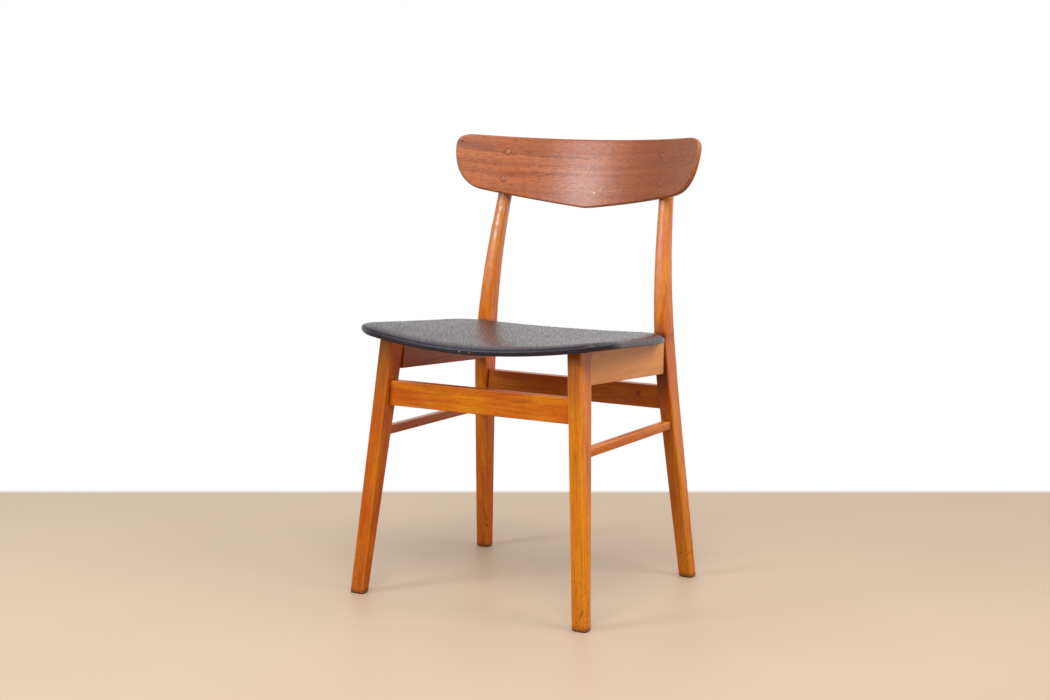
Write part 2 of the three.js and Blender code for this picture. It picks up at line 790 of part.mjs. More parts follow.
const railFall = (rearLeg.y(seatUndersideHeight) - frontLegDepth) * Math.tan(railTilt);
const railMiddle = railUnderFront + railHeight / 2;
const railUnderRear = railUnderFront - railFall;
const railDowels = { diameter: railDowelDiameter, length: railDowelLength, spacing: railDowelSpacing };
const barDowels = {
  diameter: stretcherDowelDiameter,
  length: stretcherDowelLength,
  spacing: stretcherDowelSpacing,
};
const lowerDowels = { diameter: lowerDowelDiameter, length: lowerDowelLength, spacing: 0 };
const frontStretcherTop = railUnderFront - frontStretcherDrop;
const frontStretcherMiddle = frontStretcherTop - frontStretcherHeight / 2;
const rearStretcherMiddle = railUnderRear - rearStretcherDrop - rearStretcherHeight / 2;
const lowerTop = frontStretcherTop - frontStretcherHeight - lowerDrop;
const lowerMiddle = lowerTop - lowerHeight / 2;

// The rails are made a little tall and trimmed to the underside of the seat
const railSize = { thickness: railThickness, height: railHeight + 2 * overrun, edge: barEdge };
const rails = {};
Object.keys(sides).forEach((word) => {
  const name = `seat_rail_${word}`;
  const front = railMiddle + overrun;
  const heights = { front, rear: front - railFall };
  rails[word] = lengthwiseBar(name, word, heights, railSetIn, railSize, railDowels, overrun);
  solids[name] = solids[name].subtract(trim);
});

const stretcher = { thickness: stretcherThickness, edge: barEdge };
const frontStretcher = { ...stretcher, height: frontStretcherHeight };
const rearStretcher = { ...stretcher, height: rearStretcherHeight };
const lowerStretcher = { thickness: lowerThickness, height: lowerHeight, edge: lowerEdge };
const lowerHeights = { front: lowerMiddle, rear: lowerMiddle };
crosswiseBar(
  'front_stretcher', 'front', frontLeg, frontStretcherMiddle, frontStretcherSetBack,
  frontStretcher, barDowels,
);
crosswiseBar(
  'rear_stretcher', 'rear', rearLeg, rearStretcherMiddle, -rearStretcherSetIn,
  rearStretcher, barDowels,
);
Object.keys(sides).forEach((word) => {
  const name = `lower_stretcher_${word}`;
  lengthwiseBar(name, word, lowerHeights, 0, lowerStretcher, lowerDowels);
});

// Seat, and the screws driven up through the rails into it

solids.seat_shell = solidOf(ringBody(shellRings(0, plyThickness, shellSetIn)));
solids.seat_pad = seatPad();
holes.seat_shell = [];

Object.entries(rails).forEach(([word, rail]) => {
  ['front', 'rear'].forEach((end) => {
    const share = end === 'front' ? seatScrewShare : 1 - seatScrewShare;
    const axis = rail.from.clone().lerp(rail.to, share);
    const under = axis.z - railSize.height / 2;
    const seat = new THREE.Vector3(axis.x, axis.y, under + seatScrewCounterbore);
    const length = undersideHeight(axis.x, axis.y) + plyThickness - seatScrewCover - seat.z;
    add(`seat_screw_${word}_${end}`, screw(seat, up, length), 'steel');
    const floor = seat.clone().addScaledVector(up, -clearance / 2);
    const hole = screwHole(floor, up, length, seatScrewCounterbore + overrun);
    holes[`seat_rail_${word}`].push(hole);
    holes.seat_shell.push(hole);
  });
});

// Back panel on the posts

solids.backrest_panel = backBody(0);
const backSpace = backBody(clearance);
holes.backrest_panel = [];
const boreDepth = pegLength + screwHeadHeight + 2 * clearance;
const backScrewLength = backThickness - boreDepth + backScrewBite;

// Where the centre line of a post passes behind a height on the panel, as a width along it
function postWidthAt(side, height) {
  const base = postCentre(side, backTopHeight);
  const slope = base.clone().sub(postCentre(side, 0)).divideScalar(backTopHeight);
  const target = axisPoint.clone().addScaledVector(lean, height - backHeight);
  const z = backTopHeight + target.sub(base).dot(lean) / slope.dot(lean);
  const post = postCentre(side, z).sub(axisPoint);
  return backRadius * Math.atan2(post.x, -post.dot(facing));
}

Object.entries(sides).forEach(([word, side]) => {
  const rows = { upper: upperPegDrop, lower: upperPegDrop + pegSpacing };
  Object.entries(rows).forEach(([row, drop]) => {
    const height = backHeight - drop;
    const width = postWidthAt(side, height) + side * pegOutset;
    const face = backPoint(width, height, 0);
    const inward = backPoint(width, height, backThickness).sub(face).normalize();
    const seat = face.clone().addScaledVector(inward, boreDepth - clearance);
    add(`backrest_plug_${row}_${word}`, peg(face, inward), 'teak');
    add(`backrest_screw_${row}_${word}`, screw(seat, inward, backScrewLength), 'steel');
    const hole = screwHole(seat, inward, backScrewLength, boreDepth + overrun);
    holes.backrest_panel.push(hole);
    holes[`rear_leg_${word}`].push(hole);
  });
  holes[`rear_leg_${word}`].push(backSpace);
});

// The flap of the cover stops short of the rails
const coverCuts = Object.values(rails).map((rail) => {
  const size = railThickness + 2 * (clearance + coverThickness);
  return solidOf(bar(rail.from, rail.to, size, railSize.height, barEdge));
});
const flapSpace = solidOf(ringBody(shellRings(-overrun, -clearance / 2, 0)));
solids.seat_cover = cutAway(seatCover(), coverCuts.map((cut) => cut.intersect(flapSpace)));

const finishes = {
  seat_shell: 'plywood',
  seat_pad: 'foam',
  seat_cover: 'vinyl',
  backrest_panel: 'teak',
};
Object.entries(solids).forEach(([name, solid]) => {
  add(name, cutAway(solid, holes[name] ?? []), finishes[name] ?? 'beech');
});

// The origin is under the middle of the chair's box
const box = new THREE.Box3().setFromObject(chair);
const middle = box.getCenter(new THREE.Vector3());
chair.children.forEach((mesh) => mesh.geometry.translate(-middle.x, -middle.y, 0));

export default chair;
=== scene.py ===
"""Looks of a mid-century dining chair: a teak back panel, a black vinyl seat and a stained beech frame."""

import math
from dataclasses import dataclass

import bmesh
import bpy
from mathutils import Matrix, Vector, noise
from mathutils.geometry import interpolate_bezier


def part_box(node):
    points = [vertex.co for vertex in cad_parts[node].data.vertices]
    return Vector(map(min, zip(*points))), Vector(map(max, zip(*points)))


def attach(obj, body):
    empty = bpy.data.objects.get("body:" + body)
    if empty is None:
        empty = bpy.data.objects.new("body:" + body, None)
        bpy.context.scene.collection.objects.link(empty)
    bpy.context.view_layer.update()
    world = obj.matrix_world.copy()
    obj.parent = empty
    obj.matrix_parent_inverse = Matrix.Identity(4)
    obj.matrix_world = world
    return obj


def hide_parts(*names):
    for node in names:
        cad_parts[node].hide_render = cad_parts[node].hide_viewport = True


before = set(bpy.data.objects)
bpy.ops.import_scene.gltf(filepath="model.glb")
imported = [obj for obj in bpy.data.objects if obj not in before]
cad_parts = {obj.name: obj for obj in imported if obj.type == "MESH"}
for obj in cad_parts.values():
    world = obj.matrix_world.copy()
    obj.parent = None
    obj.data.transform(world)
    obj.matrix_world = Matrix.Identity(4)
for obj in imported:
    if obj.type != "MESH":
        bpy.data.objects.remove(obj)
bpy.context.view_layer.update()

MM = 0.001
UP = Vector((0, 0, 1))
RIGHT = Vector((1, 0, 0))

# Vertices nearer than this are one, and a cut passes through those nearer than the second
WELD = 0.01 * MM
CUT_REACH = 0.02 * MM

# View and studio
CAMERA_PLACE = (1.6563, -2.731318, 0.8677)
CAMERA_DOWN = math.radians(8.08)
CAMERA_TURN = math.radians(31.43)
CAMERA_LENS = 63.847
CAMERA_SENSOR = 36
FLOOR_REACH = 14
FLOOR_FADE = (1.6, 3.4)
WALL_LINE = (0.72, 0.765)

# Back panel: a sheet bent round a cylinder, whose axis stands in front of the panel and leans back
BACK_RADIUS = 490 * MM
BACK_HALF_WIDTH = 257.7 * MM
BACK_HEIGHT = 124.6 * MM
BACK_THICKNESS = 10 * MM
BACK_AXIS = Vector((0, -264.762, 890.342)) * MM
BACK_TILT = math.radians(14)
BACK_FRONT_EDGE = 3 * MM
BACK_REAR_EDGE = 4 * MM
BACK_EDGE_SEGMENTS = 6
BACK_CUT_ACROSS = 6 * MM
BACK_CUT_UP = 12 * MM
BACK_FIRST_CUT_UP = 10 * MM

# Depths between which its veneer gives way to the plies, and the thickness of one ply
VENEER = (0.7 * MM, 1.0 * MM)
PLY_LAYER = 1.2 * MM

# Plugs over the back's screws. The dome is given as (set in, rise) from its rim on
PLUG_RADIUS = 4.95 * MM
PLUG_HEIGHT = 2.9 * MM
PLUG_SET_BACK = 0.1 * MM
PLUG_DOME = ((0.35 * MM, 0.18 * MM), (1.4 * MM, 0.04 * MM), (1.8 * MM, 0.01 * MM))
PLUG_HOLE_RADIUS = 5.25 * MM
PLUG_HOLE_DEPTH = 3.2 * MM
PLUG_SIDES = 32

# Seat: plan of its edge, measured from the chair's middle line and from the front feet
SEAT_SHIFT = 209.542 * MM
SEAT_FRONT = -4.139 * MM
SEAT_REAR = 338.55 * MM
SEAT_HALF_WIDTH = 252.55 * MM
SEAT_FRONT_END = Vector((189.95, 11.893, 0)) * MM
SEAT_FRONT_CORNER = Vector((252.55, 22.461, 0)) * MM
SEAT_SIDE_START = Vector((245.227, 84.631, 0)) * MM
SEAT_SIDE_END = Vector((224.543, 260.222, 0)) * MM
SEAT_REAR_CORNER = Vector((216.495, 328.55, 0)) * MM
SEAT_REAR_END = Vector((147.695, 333.373, 0)) * MM

# Seat: the hollow of its plywood, which is deeper in front, and the side rails under it
SEAT_LEVEL = 444 * MM
SEAT_LEVEL_DEPTH = 55.46 * MM
SEAT_TILT = math.radians(3)
SEAT_SCOOPS = (24.8 * MM, 7 * MM)
SEAT_RAIL_WIDTH = 181.95 * MM
RAIL_MIDDLE = 180.6 * MM
RAIL_REACH = 12.6 * MM
RAIL_START = 80 * MM
RAIL_CLEARANCE = 0.3 * MM
PLY_TOP = 7.4 * MM
PLY_TUCK = 6 * MM
PLY_TUCK_SHARE = 0.9

# Foam and vinyl, set in from the edge of the seat, with the crown's rises in front and behind
PAD_EDGE = 3.1 * MM
PAD_INSET = 5.7 * MM
PAD_FLOOR = 6.3 * MM
CROWN_RUN = 27 * MM
CROWN_RISES = (6 * MM, 9 * MM)
CROWN_EXTRA = 2 * MM
CROWN_STEPS = 9
INNER_SHARES = (0.93, 0.84, 0.73, 0.61, 0.48, 0.35, 0.22, 0.1)
COVER_THICKNESS = 0.75 * MM
VINYL_RUN = (-0.52, 0.85, 0)
LOOSE_FOLD = Vector((232, 14, 0)) * MM
LOOSE_FOLD_REACH = 13 * MM
LOOSE_FOLD_SLACK = 2.4 * MM

# Rings of the cover from its flap to its crown, as (set in, rise above the plywood's underside) in mm.
# The rim is creased where it faces forward and soft elsewhere
FLAP = ((20, -1.1), (14, -1.15), (8, -1.15), (3, -1.1))
CREASED_RIM = (
    (2.2, -2.2), (0.9, -2.0), (0.15, -0.4), (0, 2.0), (0, 4.2), (0.1, 5.2), (0.5, 6.0), (1.2, 6.5),
    (2.1, 6.65), (3.0, 6.4), (3.75, 5.8), (3.8, 6.4), (3.95, 8.6), (4.15, 9.2), (4.8, 9.5),
)
SOFT_RIM = (
    (1.2, -0.9), (0.3, 0.1), (0, 1.8), (0, 3.9), (0.2, 5.5), (0.5, 6.4), (0.85, 7.1), (1.3, 7.7),
    (1.8, 8.2), (2.3, 8.6), (2.8, 8.9), (3.3, 9.1), (3.8, 9.3), (4.3, 9.45), (4.8, 9.55),
)
RIM_END = 4.8 * MM
RIM_CREASED_FROM = 0.72
RIM_BLEND = 0.2
PLEAT_DEPTH = 0.9 * MM

# Staples under the seat
STAPLE_SPACING = 21 * MM
STAPLE_INSET = 12.5 * MM
STAPLE_DROP = 1.75 * MM
STAPLE_SIZE = (9.6 * MM, 1.1 * MM, 0.7 * MM)
STAPLE_EDGE = 0.2 * MM
STAPLE_SWING = 0.12

# Beech frame: how it is cut, and the heights between which its finish, its painted shade and its painted
# sheen change
FRAME_CUT = 12 * MM
FLAT_WITHIN = math.radians(0.3)
JOINT_REACH = 16 * MM
POST_SHEEN = (0.46, 0.56)
HAND_REACH = (0.54, 0.64)
EDGE_WEAR_AND_HIGHLIGHT_FADE = (0.4, 0.5)
UNDER_SEAT_SHADE_FADE = (0.42, 0.5)
SEAT_EDGE_SHADOW_START = (0.426, 0.443)
SEAT_EDGE_SHADOW_END = (0.447, 0.452)
LEG_SHADE_START = (0.3, 0.4)
LEG_SHADE_END = (0.42, 0.475)
LACQUER_DULLS = (0.2, 0.5)
SCUFF_FADE = (0.006, 0.13)
GRIME_AND_SHADOW_FADE = (0.005, 0.016)
FREE_END_HEIGHT = 0.6


def srgb(red, green, blue):
    """A colour given as a screen shows it, 0 to 255, as linear light."""
    def linear(level):
        share = level / 255
        return share / 12.92 if share <= 0.04045 else ((share + 0.055) / 1.055) ** 2.4
    return (linear(red), linear(green), linear(blue), 1)


def lerp(start, end, share):
    return start + (end - start) * share


def clamp(value, low=0.0, high=1.0):
    return max(low, min(high, value))


# Marks of use, as (place, size, colour): on the back's sheet, and on the front of the seat's cover
BACK_MARKS = (
    ((-0.2474, 0.1044, 0), 3.0 * MM, srgb(46, 28, 24)),
    ((0.018, 0.027, 0), 2.2 * MM, srgb(250, 224, 190)),
    ((0.0298, 0.0327, 0), 1.6 * MM, srgb(236, 190, 150)),
    ((0.0, 0.072, 0), 1.6 * MM, srgb(236, 200, 170)),
    ((0.1633, 0.0428, 0), 2.4 * MM, srgb(222, 142, 66)),
)
COVER_MARKS = (
    ((-0.0088, -0.2137, 0.4369), 1.5 * MM, srgb(226, 190, 96)),
    ((0.0107, -0.2137, 0.4362), 1.1 * MM, srgb(226, 190, 96)),
)


# Shader maths


class Shade:
    """A value in a finish. Arithmetic on it adds Math nodes."""

    def __init__(self, finish, socket):
        self.finish = finish
        self.socket = socket

    def maths(self, operation, first, second=0.0):
        return self.finish.node("Math", {"operation": operation}, {0: first, 1: second})

    def __add__(self, other):
        return self.maths("ADD", self, other)

    __radd__ = __add__

    def __sub__(self, other):
        return self.maths("SUBTRACT", self, other)

    def __rsub__(self, other):
        return self.maths("SUBTRACT", other, self)

    def __mul__(self, other):
        return self.maths("MULTIPLY", self, other)

    __rmul__ = __mul__

    def __pow__(self, power):
        return self.maths("POWER", self, power)

    def __abs__(self):
        return self.maths("ABSOLUTE", self)


class Finish:
    """A node tree that is filled in with expressions."""

    def __init__(self, tree):
        self.tree = tree
        tree.nodes.clear()

    def node(self, kind, settings=None, sockets=None, output=0):
        made = self.tree.nodes.new("ShaderNode" + kind)
        for name, value in (settings or {}).items():
            setattr(made, name, value)
        for name, value in (sockets or {}).items():
            if isinstance(value, Shade):
                self.tree.links.new(value.socket, made.inputs[name])
            else:
                made.inputs[name].default_value = value
        return Shade(self, made.outputs[output]) if made.outputs else made

    def here(self):
        """Object coordinates."""
        return self.node("TexCoord", output=3)

    def place(self, along=RIGHT, shift=(0, 0, 0)):
        """Object coordinates turned so that their x runs along the given direction."""
        turn = Vector(along).rotation_difference(RIGHT).to_euler()
        return self.node("Mapping", {}, {"Vector": self.here(), "Rotation": turn, "Location": shift})

    def vector_maths(self, operation, first, second, output=0):
        return self.node("VectorMath", {"operation": operation}, {0: first, 1: second}, output)

    def stretch(self, vector, sizes):
        return self.vector_maths("MULTIPLY", vector, sizes)

    def offset(self, vector, other):
        return self.vector_maths("ADD", vector, other)

    def distance(self, vector, place):
        return self.vector_maths("DISTANCE", vector, place, output=1)

    def parts(self, vector):
        made = self.node("SeparateXYZ", {}, {0: vector})
        return [Shade(self, output) for output in made.socket.node.outputs]

    def noise(self, vector, scale=1.0, detail=2.0, roughness=0.5, distortion=0.0):
        sockets = {"Vector": vector, "Scale": scale, "Detail": detail}
        sockets.update({"Roughness": roughness, "Distortion": distortion})
        return self.node("TexNoise", {}, sockets)

    def cells(self, vector, scale=1.0, feature="F1"):
        return self.node("TexVoronoi", {"feature": feature}, {"Vector": vector, "Scale": scale})

    def span(self, value, low, high):
        """0 where the value is at low, 1 where it is at high, and a smooth rise between."""
        ends = {"Value": value, "From Min": low, "From Max": high}
        return self.node("MapRange", {"interpolation_type": "SMOOTHSTEP"}, ends)

    def mix(self, share, first, second):
        return self.node("Mix", {"data_type": "RGBA"}, {0: share, 6: first, 7: second}, output=2)

    def attribute(self, name, output=1):
        return self.node("Attribute", {"attribute_name": name}, {}, output)

    def bump(self, height, distance, strength=1.0, under=None):
        sockets = {"Height": height, "Distance": distance, "Strength": strength}
        if under is not None:
            sockets["Normal"] = under
        return self.node("Bump", {}, sockets)

    def principled(self, sockets):
        self.surface(self.node("BsdfPrincipled", {}, sockets))

    def surface(self, shader):
        self.node("OutputMaterial", {}, {"Surface": shader})


def new_finish(name):
    material = bpy.data.materials.new(name)
    material.use_nodes = True
    return material, Finish(material.node_tree)


# Wood finishes


@dataclass
class Board:
    """A piece of the beech frame, and how its own wood and wear look.

    Its grain runs along a direction, and shift moves the figure on. Tone runs from yellow, under 0, to
    red. Depth paints shade on the wood below the seat, and a pale sheen over it where it is under 0.
    The painted seat shade darkens the front just under the seat. The dark line at its ends, its seam,
    is partly the joint and partly painted shadow there, and hands have dulled its top.
    """

    node: str
    along: tuple
    shift: tuple
    tone: float = 0.0
    depth: float = 0.0
    painted_seat_shade: float = 0.0
    seam: float = 2 * MM
    handling: float = 0.0
    knots: tuple = ()


RUSSET = srgb(170, 62, 6)
SIENNA = srgb(122, 42, 6)


def beech_figure(wood, grain, tone):
    """Colour of the stained wood, and the noises that its wear follows."""
    wander = wood.noise(wood.stretch(grain, (5, 34, 34)), detail=2.0)
    blotch = wood.noise(grain, scale=19, detail=3.0, roughness=0.6)
    patch = wood.noise(grain, scale=7, detail=2.0)
    streaks = wood.noise(wood.stretch(grain, (10, 230, 230)), detail=3.0, roughness=0.65, distortion=0.3)
    hair = wood.noise(wood.stretch(grain, (30, 620, 620)), detail=2.0, roughness=0.6)
    mottle = wood.noise(wood.stretch(grain, (130, 190, 190)), detail=2.0, roughness=0.6)
    specks = wood.noise(grain, scale=330, detail=2.0, roughness=0.6)

    honey = srgb(240, 146, 14)
    orange = srgb(218, 106, 6)
    warm = wood.span(wander * 0.7 + blotch * 0.3 + tone * 0.14, 0.34, 0.66)
    red = wood.span(patch * 0.5 + streaks * 0.5 + tone * 0.12, 0.44, 0.76)
    colour = wood.mix(warm, honey, orange)
    colour = wood.mix(red * 0.7, colour, RUSSET)
    colour = wood.mix(wood.span(streaks, 0.42, 0.74) * 0.34, colour, RUSSET)
    colour = wood.mix(wood.span(mottle, 0.44, 0.7) * 0.14, colour, SIENNA)
    colour = wood.mix(wood.span(hair, 0.46, 0.7) * 0.3, colour, RUSSET)
    colour = wood.mix(wood.span(specks, 0.66, 0.74) * 0.4, colour, SIENNA)
    return colour, blotch, streaks, hair, mottle


def stain_wear_and_painted_light(wood, colour, board, blotch):
    """Paler at worn corners, partly a painted highlight, darker by the joints, and painted shade under the
    seat.
    """
    back, height = wood.parts(wood.here())[1:]
    edge = wood.attribute("edge", output=2)
    joint = wood.attribute("joint", output=2)
    front = wood.attribute("front", output=2)
    # Corners are paler where worn, partly real wear and partly a painted highlight along the arrises
    worn_and_highlit = edge * (0.35 + wood.span(blotch, 0.34, 0.6) * 0.65)
    worn_through_and_highlit = worn_and_highlit * (0.75 - wood.span(height, *EDGE_WEAR_AND_HIGHLIGHT_FADE) * 0.65)
    colour = wood.mix(worn_through_and_highlit, colour, srgb(244, 150, 44))
    # Where depth is under 0 it paints a pale sheen over the whole piece
    if board.depth < 0:
        colour = wood.mix(-board.depth, colour, srgb(244, 176, 104))

    # The seat slopes down to the rear, and the shade painted under it follows it
    under_seat = height + back * math.tan(SEAT_TILT)
    seat_edge_shadow = wood.span(under_seat, *SEAT_EDGE_SHADOW_START) * (1 - wood.span(under_seat, *SEAT_EDGE_SHADOW_END))
    shaded = wood.span(under_seat, *LEG_SHADE_START) * (1 - wood.span(under_seat, *LEG_SHADE_END))
    # Dark by the joints, with a painted shadow under the seat's edge and painted shade on the fronts below
    # it
    dark = joint * 0.2 + seat_edge_shadow * 0.3 + shaded * board.painted_seat_shade * front
    # Depth paints shade on the wood below the seat, most on its front faces
    if board.depth > 0:
        dark = dark + (1 - wood.span(height, *UNDER_SEAT_SHADE_FADE)) * (1 + front * 3.5) * board.depth
    return wood.mix(dark, colour, srgb(84, 26, 6)), worn_and_highlit


def joint_seams_and_shadow(wood, colour, board, caps):
    """The dark line where a piece's end meets another, partly its gap and partly painted shadow there, and
    end grain where it stands free.
    """
    here = wood.here()
    for normal, reach in caps:
        beyond = wood.vector_maths("DOT_PRODUCT", here, normal, output=1)
        seam = wood.span(beyond, reach - board.seam, reach - board.seam * 0.4)
        stands_free = normal.z * reach > FREE_END_HEIGHT
        colour = wood.mix(seam * (0.3 if stands_free else 0.85), colour, srgb(34, 14, 8))
    return colour


def knot(wood, colour, streaks, place, size):
    around = wood.distance(wood.here(), place) * (0.7 + streaks * 0.6)
    colour = wood.mix((1 - wood.span(around, size, size * 5)) * 0.4, colour, SIENNA)
    return wood.mix((1 - wood.span(around, size * 0.5, size * 1.3)) * 0.9, colour, srgb(40, 16, 8))


def stained_beech(name, board, caps):
    """Beech stained honey orange under a thin semi-gloss lacquer."""
    material, wood = new_finish(name)
    grain = wood.place(board.along, board.shift)
    height = wood.parts(wood.here())[2]
    colour, blotch, streaks, hair, mottle = beech_figure(wood, grain, board.tone)
    # A painted pale sheen on the posts above the seat
    colour = wood.mix(wood.span(height, *POST_SHEEN) * 0.2, colour, srgb(222, 158, 98))
    sockets = {"IOR": 1.4}

    # Hands have dulled the posts below the back, and the worn streaks get a glossy coat and a painted pale
    # highlight
    if board.handling:
        handled = wood.span(height, *HAND_REACH) * board.handling
        worn = wood.span(streaks, 0.48, 0.58) * handled
        colour = wood.mix(handled * 0.4, colour, srgb(140, 50, 18))
        colour = wood.mix(worn * 0.2, colour, srgb(236, 206, 190))
        sockets.update({"Coat Weight": worn * 0.8, "Coat Roughness": 0.12, "Coat IOR": 1.5})
    colour, worn_and_highlit = stain_wear_and_painted_light(wood, colour, board, blotch)
    if board.seam:
        colour = joint_seams_and_shadow(wood, colour, board, caps)
    for place, size in board.knots:
        colour = knot(wood, colour, streaks, place, size)

    # The feet are scuffed, and darker where they meet the floor, partly dirt and partly a painted contact
    # shadow
    scuffs = wood.span(wood.noise(grain, scale=150, detail=3.0, roughness=0.7), 0.56, 0.68)
    scuffed = scuffs * (1 - wood.span(height, *SCUFF_FADE))
    colour = wood.mix(scuffed * 0.6, colour, srgb(52, 26, 14))
    grime_and_contact_shadow = 1 - wood.span(height + blotch * 0.008, *GRIME_AND_SHADOW_FADE)
    colour = wood.mix(grime_and_contact_shadow * 0.6, colour, srgb(44, 24, 14))

    rough = 0.21 + streaks * 0.1 + mottle * 0.06 + scuffed * 0.25 + worn_and_highlit * 0.05
    rough = rough + wood.span(height, *LACQUER_DULLS) * 0.04
    bumps = wood.bump(hair + streaks * 0.8, 0.05 * MM, 0.3)
    bumps = wood.bump(wood.noise(grain, scale=70, detail=2.0), 0.4 * MM, 0.14, under=bumps)
    sockets.update({"Base Color": colour, "Roughness": rough, "Normal": bumps})
    wood.principled(sockets)
    return material


def teak_figure(wood, sheet):
    """Teak whose figure runs across the panel, and the pores and lines that its gloss follows."""
    width, height = wood.parts(sheet)[:2]
    drift = wood.noise(wood.stretch(sheet, (5, 9, 10)), detail=1.0)
    bent = wood.offset(sheet, wood.node("CombineXYZ", {}, {1: drift * 0.012}))
    bands = wood.noise(wood.stretch(bent, (1.4, 60, 8)), detail=2.0, roughness=0.5)
    lines = wood.noise(wood.stretch(bent, (9, 330, 40)), detail=3.0, roughness=0.6)
    dashes = wood.noise(wood.stretch(sheet, (70, 620, 60)), detail=3.0, roughness=0.7)
    pore = wood.span(wood.noise(wood.stretch(sheet, (130, 1000, 400)), detail=2.0), 0.55, 0.68)
    cloud = wood.noise(wood.stretch(sheet, (12, 22, 8)), detail=2.0)
    cross = wood.noise(wood.stretch(sheet, (150, 26, 8)), detail=2.0)

    dark = srgb(104, 50, 30)
    black = srgb(66, 34, 26)
    colour = wood.mix(wood.span(bands, 0.3, 0.7), srgb(198, 110, 58), srgb(168, 85, 42))
    colour = wood.mix(wood.span(lines, 0.44, 0.7) * 0.2, colour, dark)
    colour = wood.mix(wood.span(cloud, 0.44, 0.74) * 0.16, colour, dark)
    colour = wood.mix(wood.span(dashes, 0.46, 0.62) * 0.5, colour, dark)
    colour = wood.mix(wood.span(cross, 0.42, 0.68) * 0.16, colour, dark)

    # One heartwood band runs right across, falling a little from left to right
    centre = 0.089 - width * 0.032 + (drift - 0.5) * 0.012
    inside = wood.span(0.003 + abs(width) * 0.02 - abs(height - centre), -0.002, 0.003)
    band = inside * wood.span(lines * 0.45 + cloud * 0.3 + dashes * 0.25, 0.36, 0.58)
    colour = wood.mix(band * 0.46, colour, black)

    # A thinner and shorter one lies below it at the left, and the right end is greyer
    low = abs(height - 0.057 + (drift - 0.5) * 0.02)
    second = (1 - wood.span(low, 0.001, 0.006)) * wood.span(dashes, 0.4, 0.6)
    second = second * wood.span(width, -0.18, -0.14) * wood.span(width, -0.03, -0.08)
    colour = wood.mix(second * 0.5, colour, dark)
    colour = wood.mix(wood.span(width, 0.02, 0.16) * 0.6, colour, srgb(124, 66, 42))
    return wood.mix(pore * 0.42, colour, black), pore, lines, dashes


def cloudy_polish(wood, sheet, thickness):
    """Backs have polished the middle of the panel's face, and the polish has gone cloudy there."""
    from_middle = wood.stretch(wood.offset(sheet, (-0.004, -0.045, 0)), (13, 20, 0))
    away = wood.distance(from_middle, (0, 0, 0))
    worn = wood.noise(wood.stretch(sheet, (70, 520, 10)), detail=3.0, roughness=0.75)
    polish = (1 - wood.span(away, 0.2, 1.25)) * wood.span(thickness, 1 * MM, 0)
    return polish * (0.2 + wood.span(worn, 0.46, 0.58) * 0.8)


def teak_panel(name, plug_places):
    """Teak veneer on both faces of moulded beech plies, whose layers show round the edge."""
    material, wood = new_finish(name)
    sheet = wood.attribute("sheet")
    flat = wood.stretch(sheet, (1, 1, 0))
    thickness = wood.parts(sheet)[2]
    colour, pore, lines, dashes = teak_figure(wood, sheet)

    # Dirt rings the plugs, darker at the left, and the face has a few small marks
    front = 1 - wood.span(thickness, 4 * MM, 5 * MM)
    for place in plug_places:
        gap = wood.distance(flat, place)
        ring = front * (1 - wood.span(gap, PLUG_HOLE_RADIUS + 0.2 * MM, PLUG_HOLE_RADIUS + 1.7 * MM))
        colour = wood.mix(ring * (0.9 if place.x < 0 else 0.5), colour, srgb(62, 34, 24))
    for place, size, tint in BACK_MARKS:
        mark = front * (1 - wood.span(wood.distance(flat, place), size * 0.4, size))
        colour = wood.mix(mark * 0.9, colour, tint)

    # The plies lie between the two veneers
    folded = wood.node("Math", {"operation": "PINGPONG"}, {0: thickness, 1: PLY_LAYER})
    layer = wood.span(folded, 0.4 * MM, 0.8 * MM)
    wave = wood.noise(wood.stretch(sheet, (60, 60, 900)), detail=2.0)
    plies = wood.mix(layer, srgb(196, 112, 62), srgb(150, 80, 44))
    plies = wood.mix(wood.span(wave, 0.45, 0.75) * 0.4, plies, srgb(108, 54, 30))
    from_rear = BACK_THICKNESS - VENEER[1], BACK_THICKNESS - VENEER[0]
    inside = wood.span(thickness, *VENEER) * (1 - wood.span(thickness, *from_rear))
    colour = wood.mix(inside, colour, plies)

    rough = 0.29 + lines * 0.08 + pore * 0.12 + inside * 0.08
    waves = wood.noise(wood.stretch(sheet, (22, 40, 1)), detail=2.0)
    bumps = wood.bump(1 - pore, 0.03 * MM, 0.4)
    bumps = wood.bump(dashes, 0.05 * MM, 0.3, under=bumps)
    bumps = wood.bump(waves, 0.5 * MM, 0.16, under=bumps)
    sockets = {"Base Color": colour, "Roughness": rough, "Normal": bumps, "IOR": 1.5}
    polish = cloudy_polish(wood, sheet, thickness)
    sockets.update({"Coat Weight": polish * 0.34, "Coat Roughness": 0.24, "Coat IOR": 1.6})
    wood.principled(sockets)
    return material


def teak_plug(name):
    """Plugs of teak, with a figure that doesn't run on from the panel."""
    material, wood = new_finish(name)
    turned = wood.offset(wood.attribute("sheet"), (0.31, 0.07, 0))
    lines = wood.noise(wood.stretch(turned, (40, 700, 60)), detail=3.0)
    pore = wood.span(wood.noise(wood.stretch(turned, (400, 2400, 400)), detail=1.0), 0.55, 0.7)
    shade = wood.noise(turned, scale=18, detail=0.0)
    colour = wood.mix(wood.span(shade, 0.35, 0.65), srgb(184, 102, 54), srgb(156, 80, 42))
    colour = wood.mix(wood.span(lines, 0.4, 0.7) * 0.4, colour, srgb(110, 54, 32))
    colour = wood.mix(pore * 0.4, colour, srgb(60, 32, 22))
    bumps = wood.bump(lines - pore, 0.05 * MM, 0.5)
    wood.principled({"Base Color": colour, "Roughness": 0.34 + pore * 0.1, "Normal": bumps})
    return material


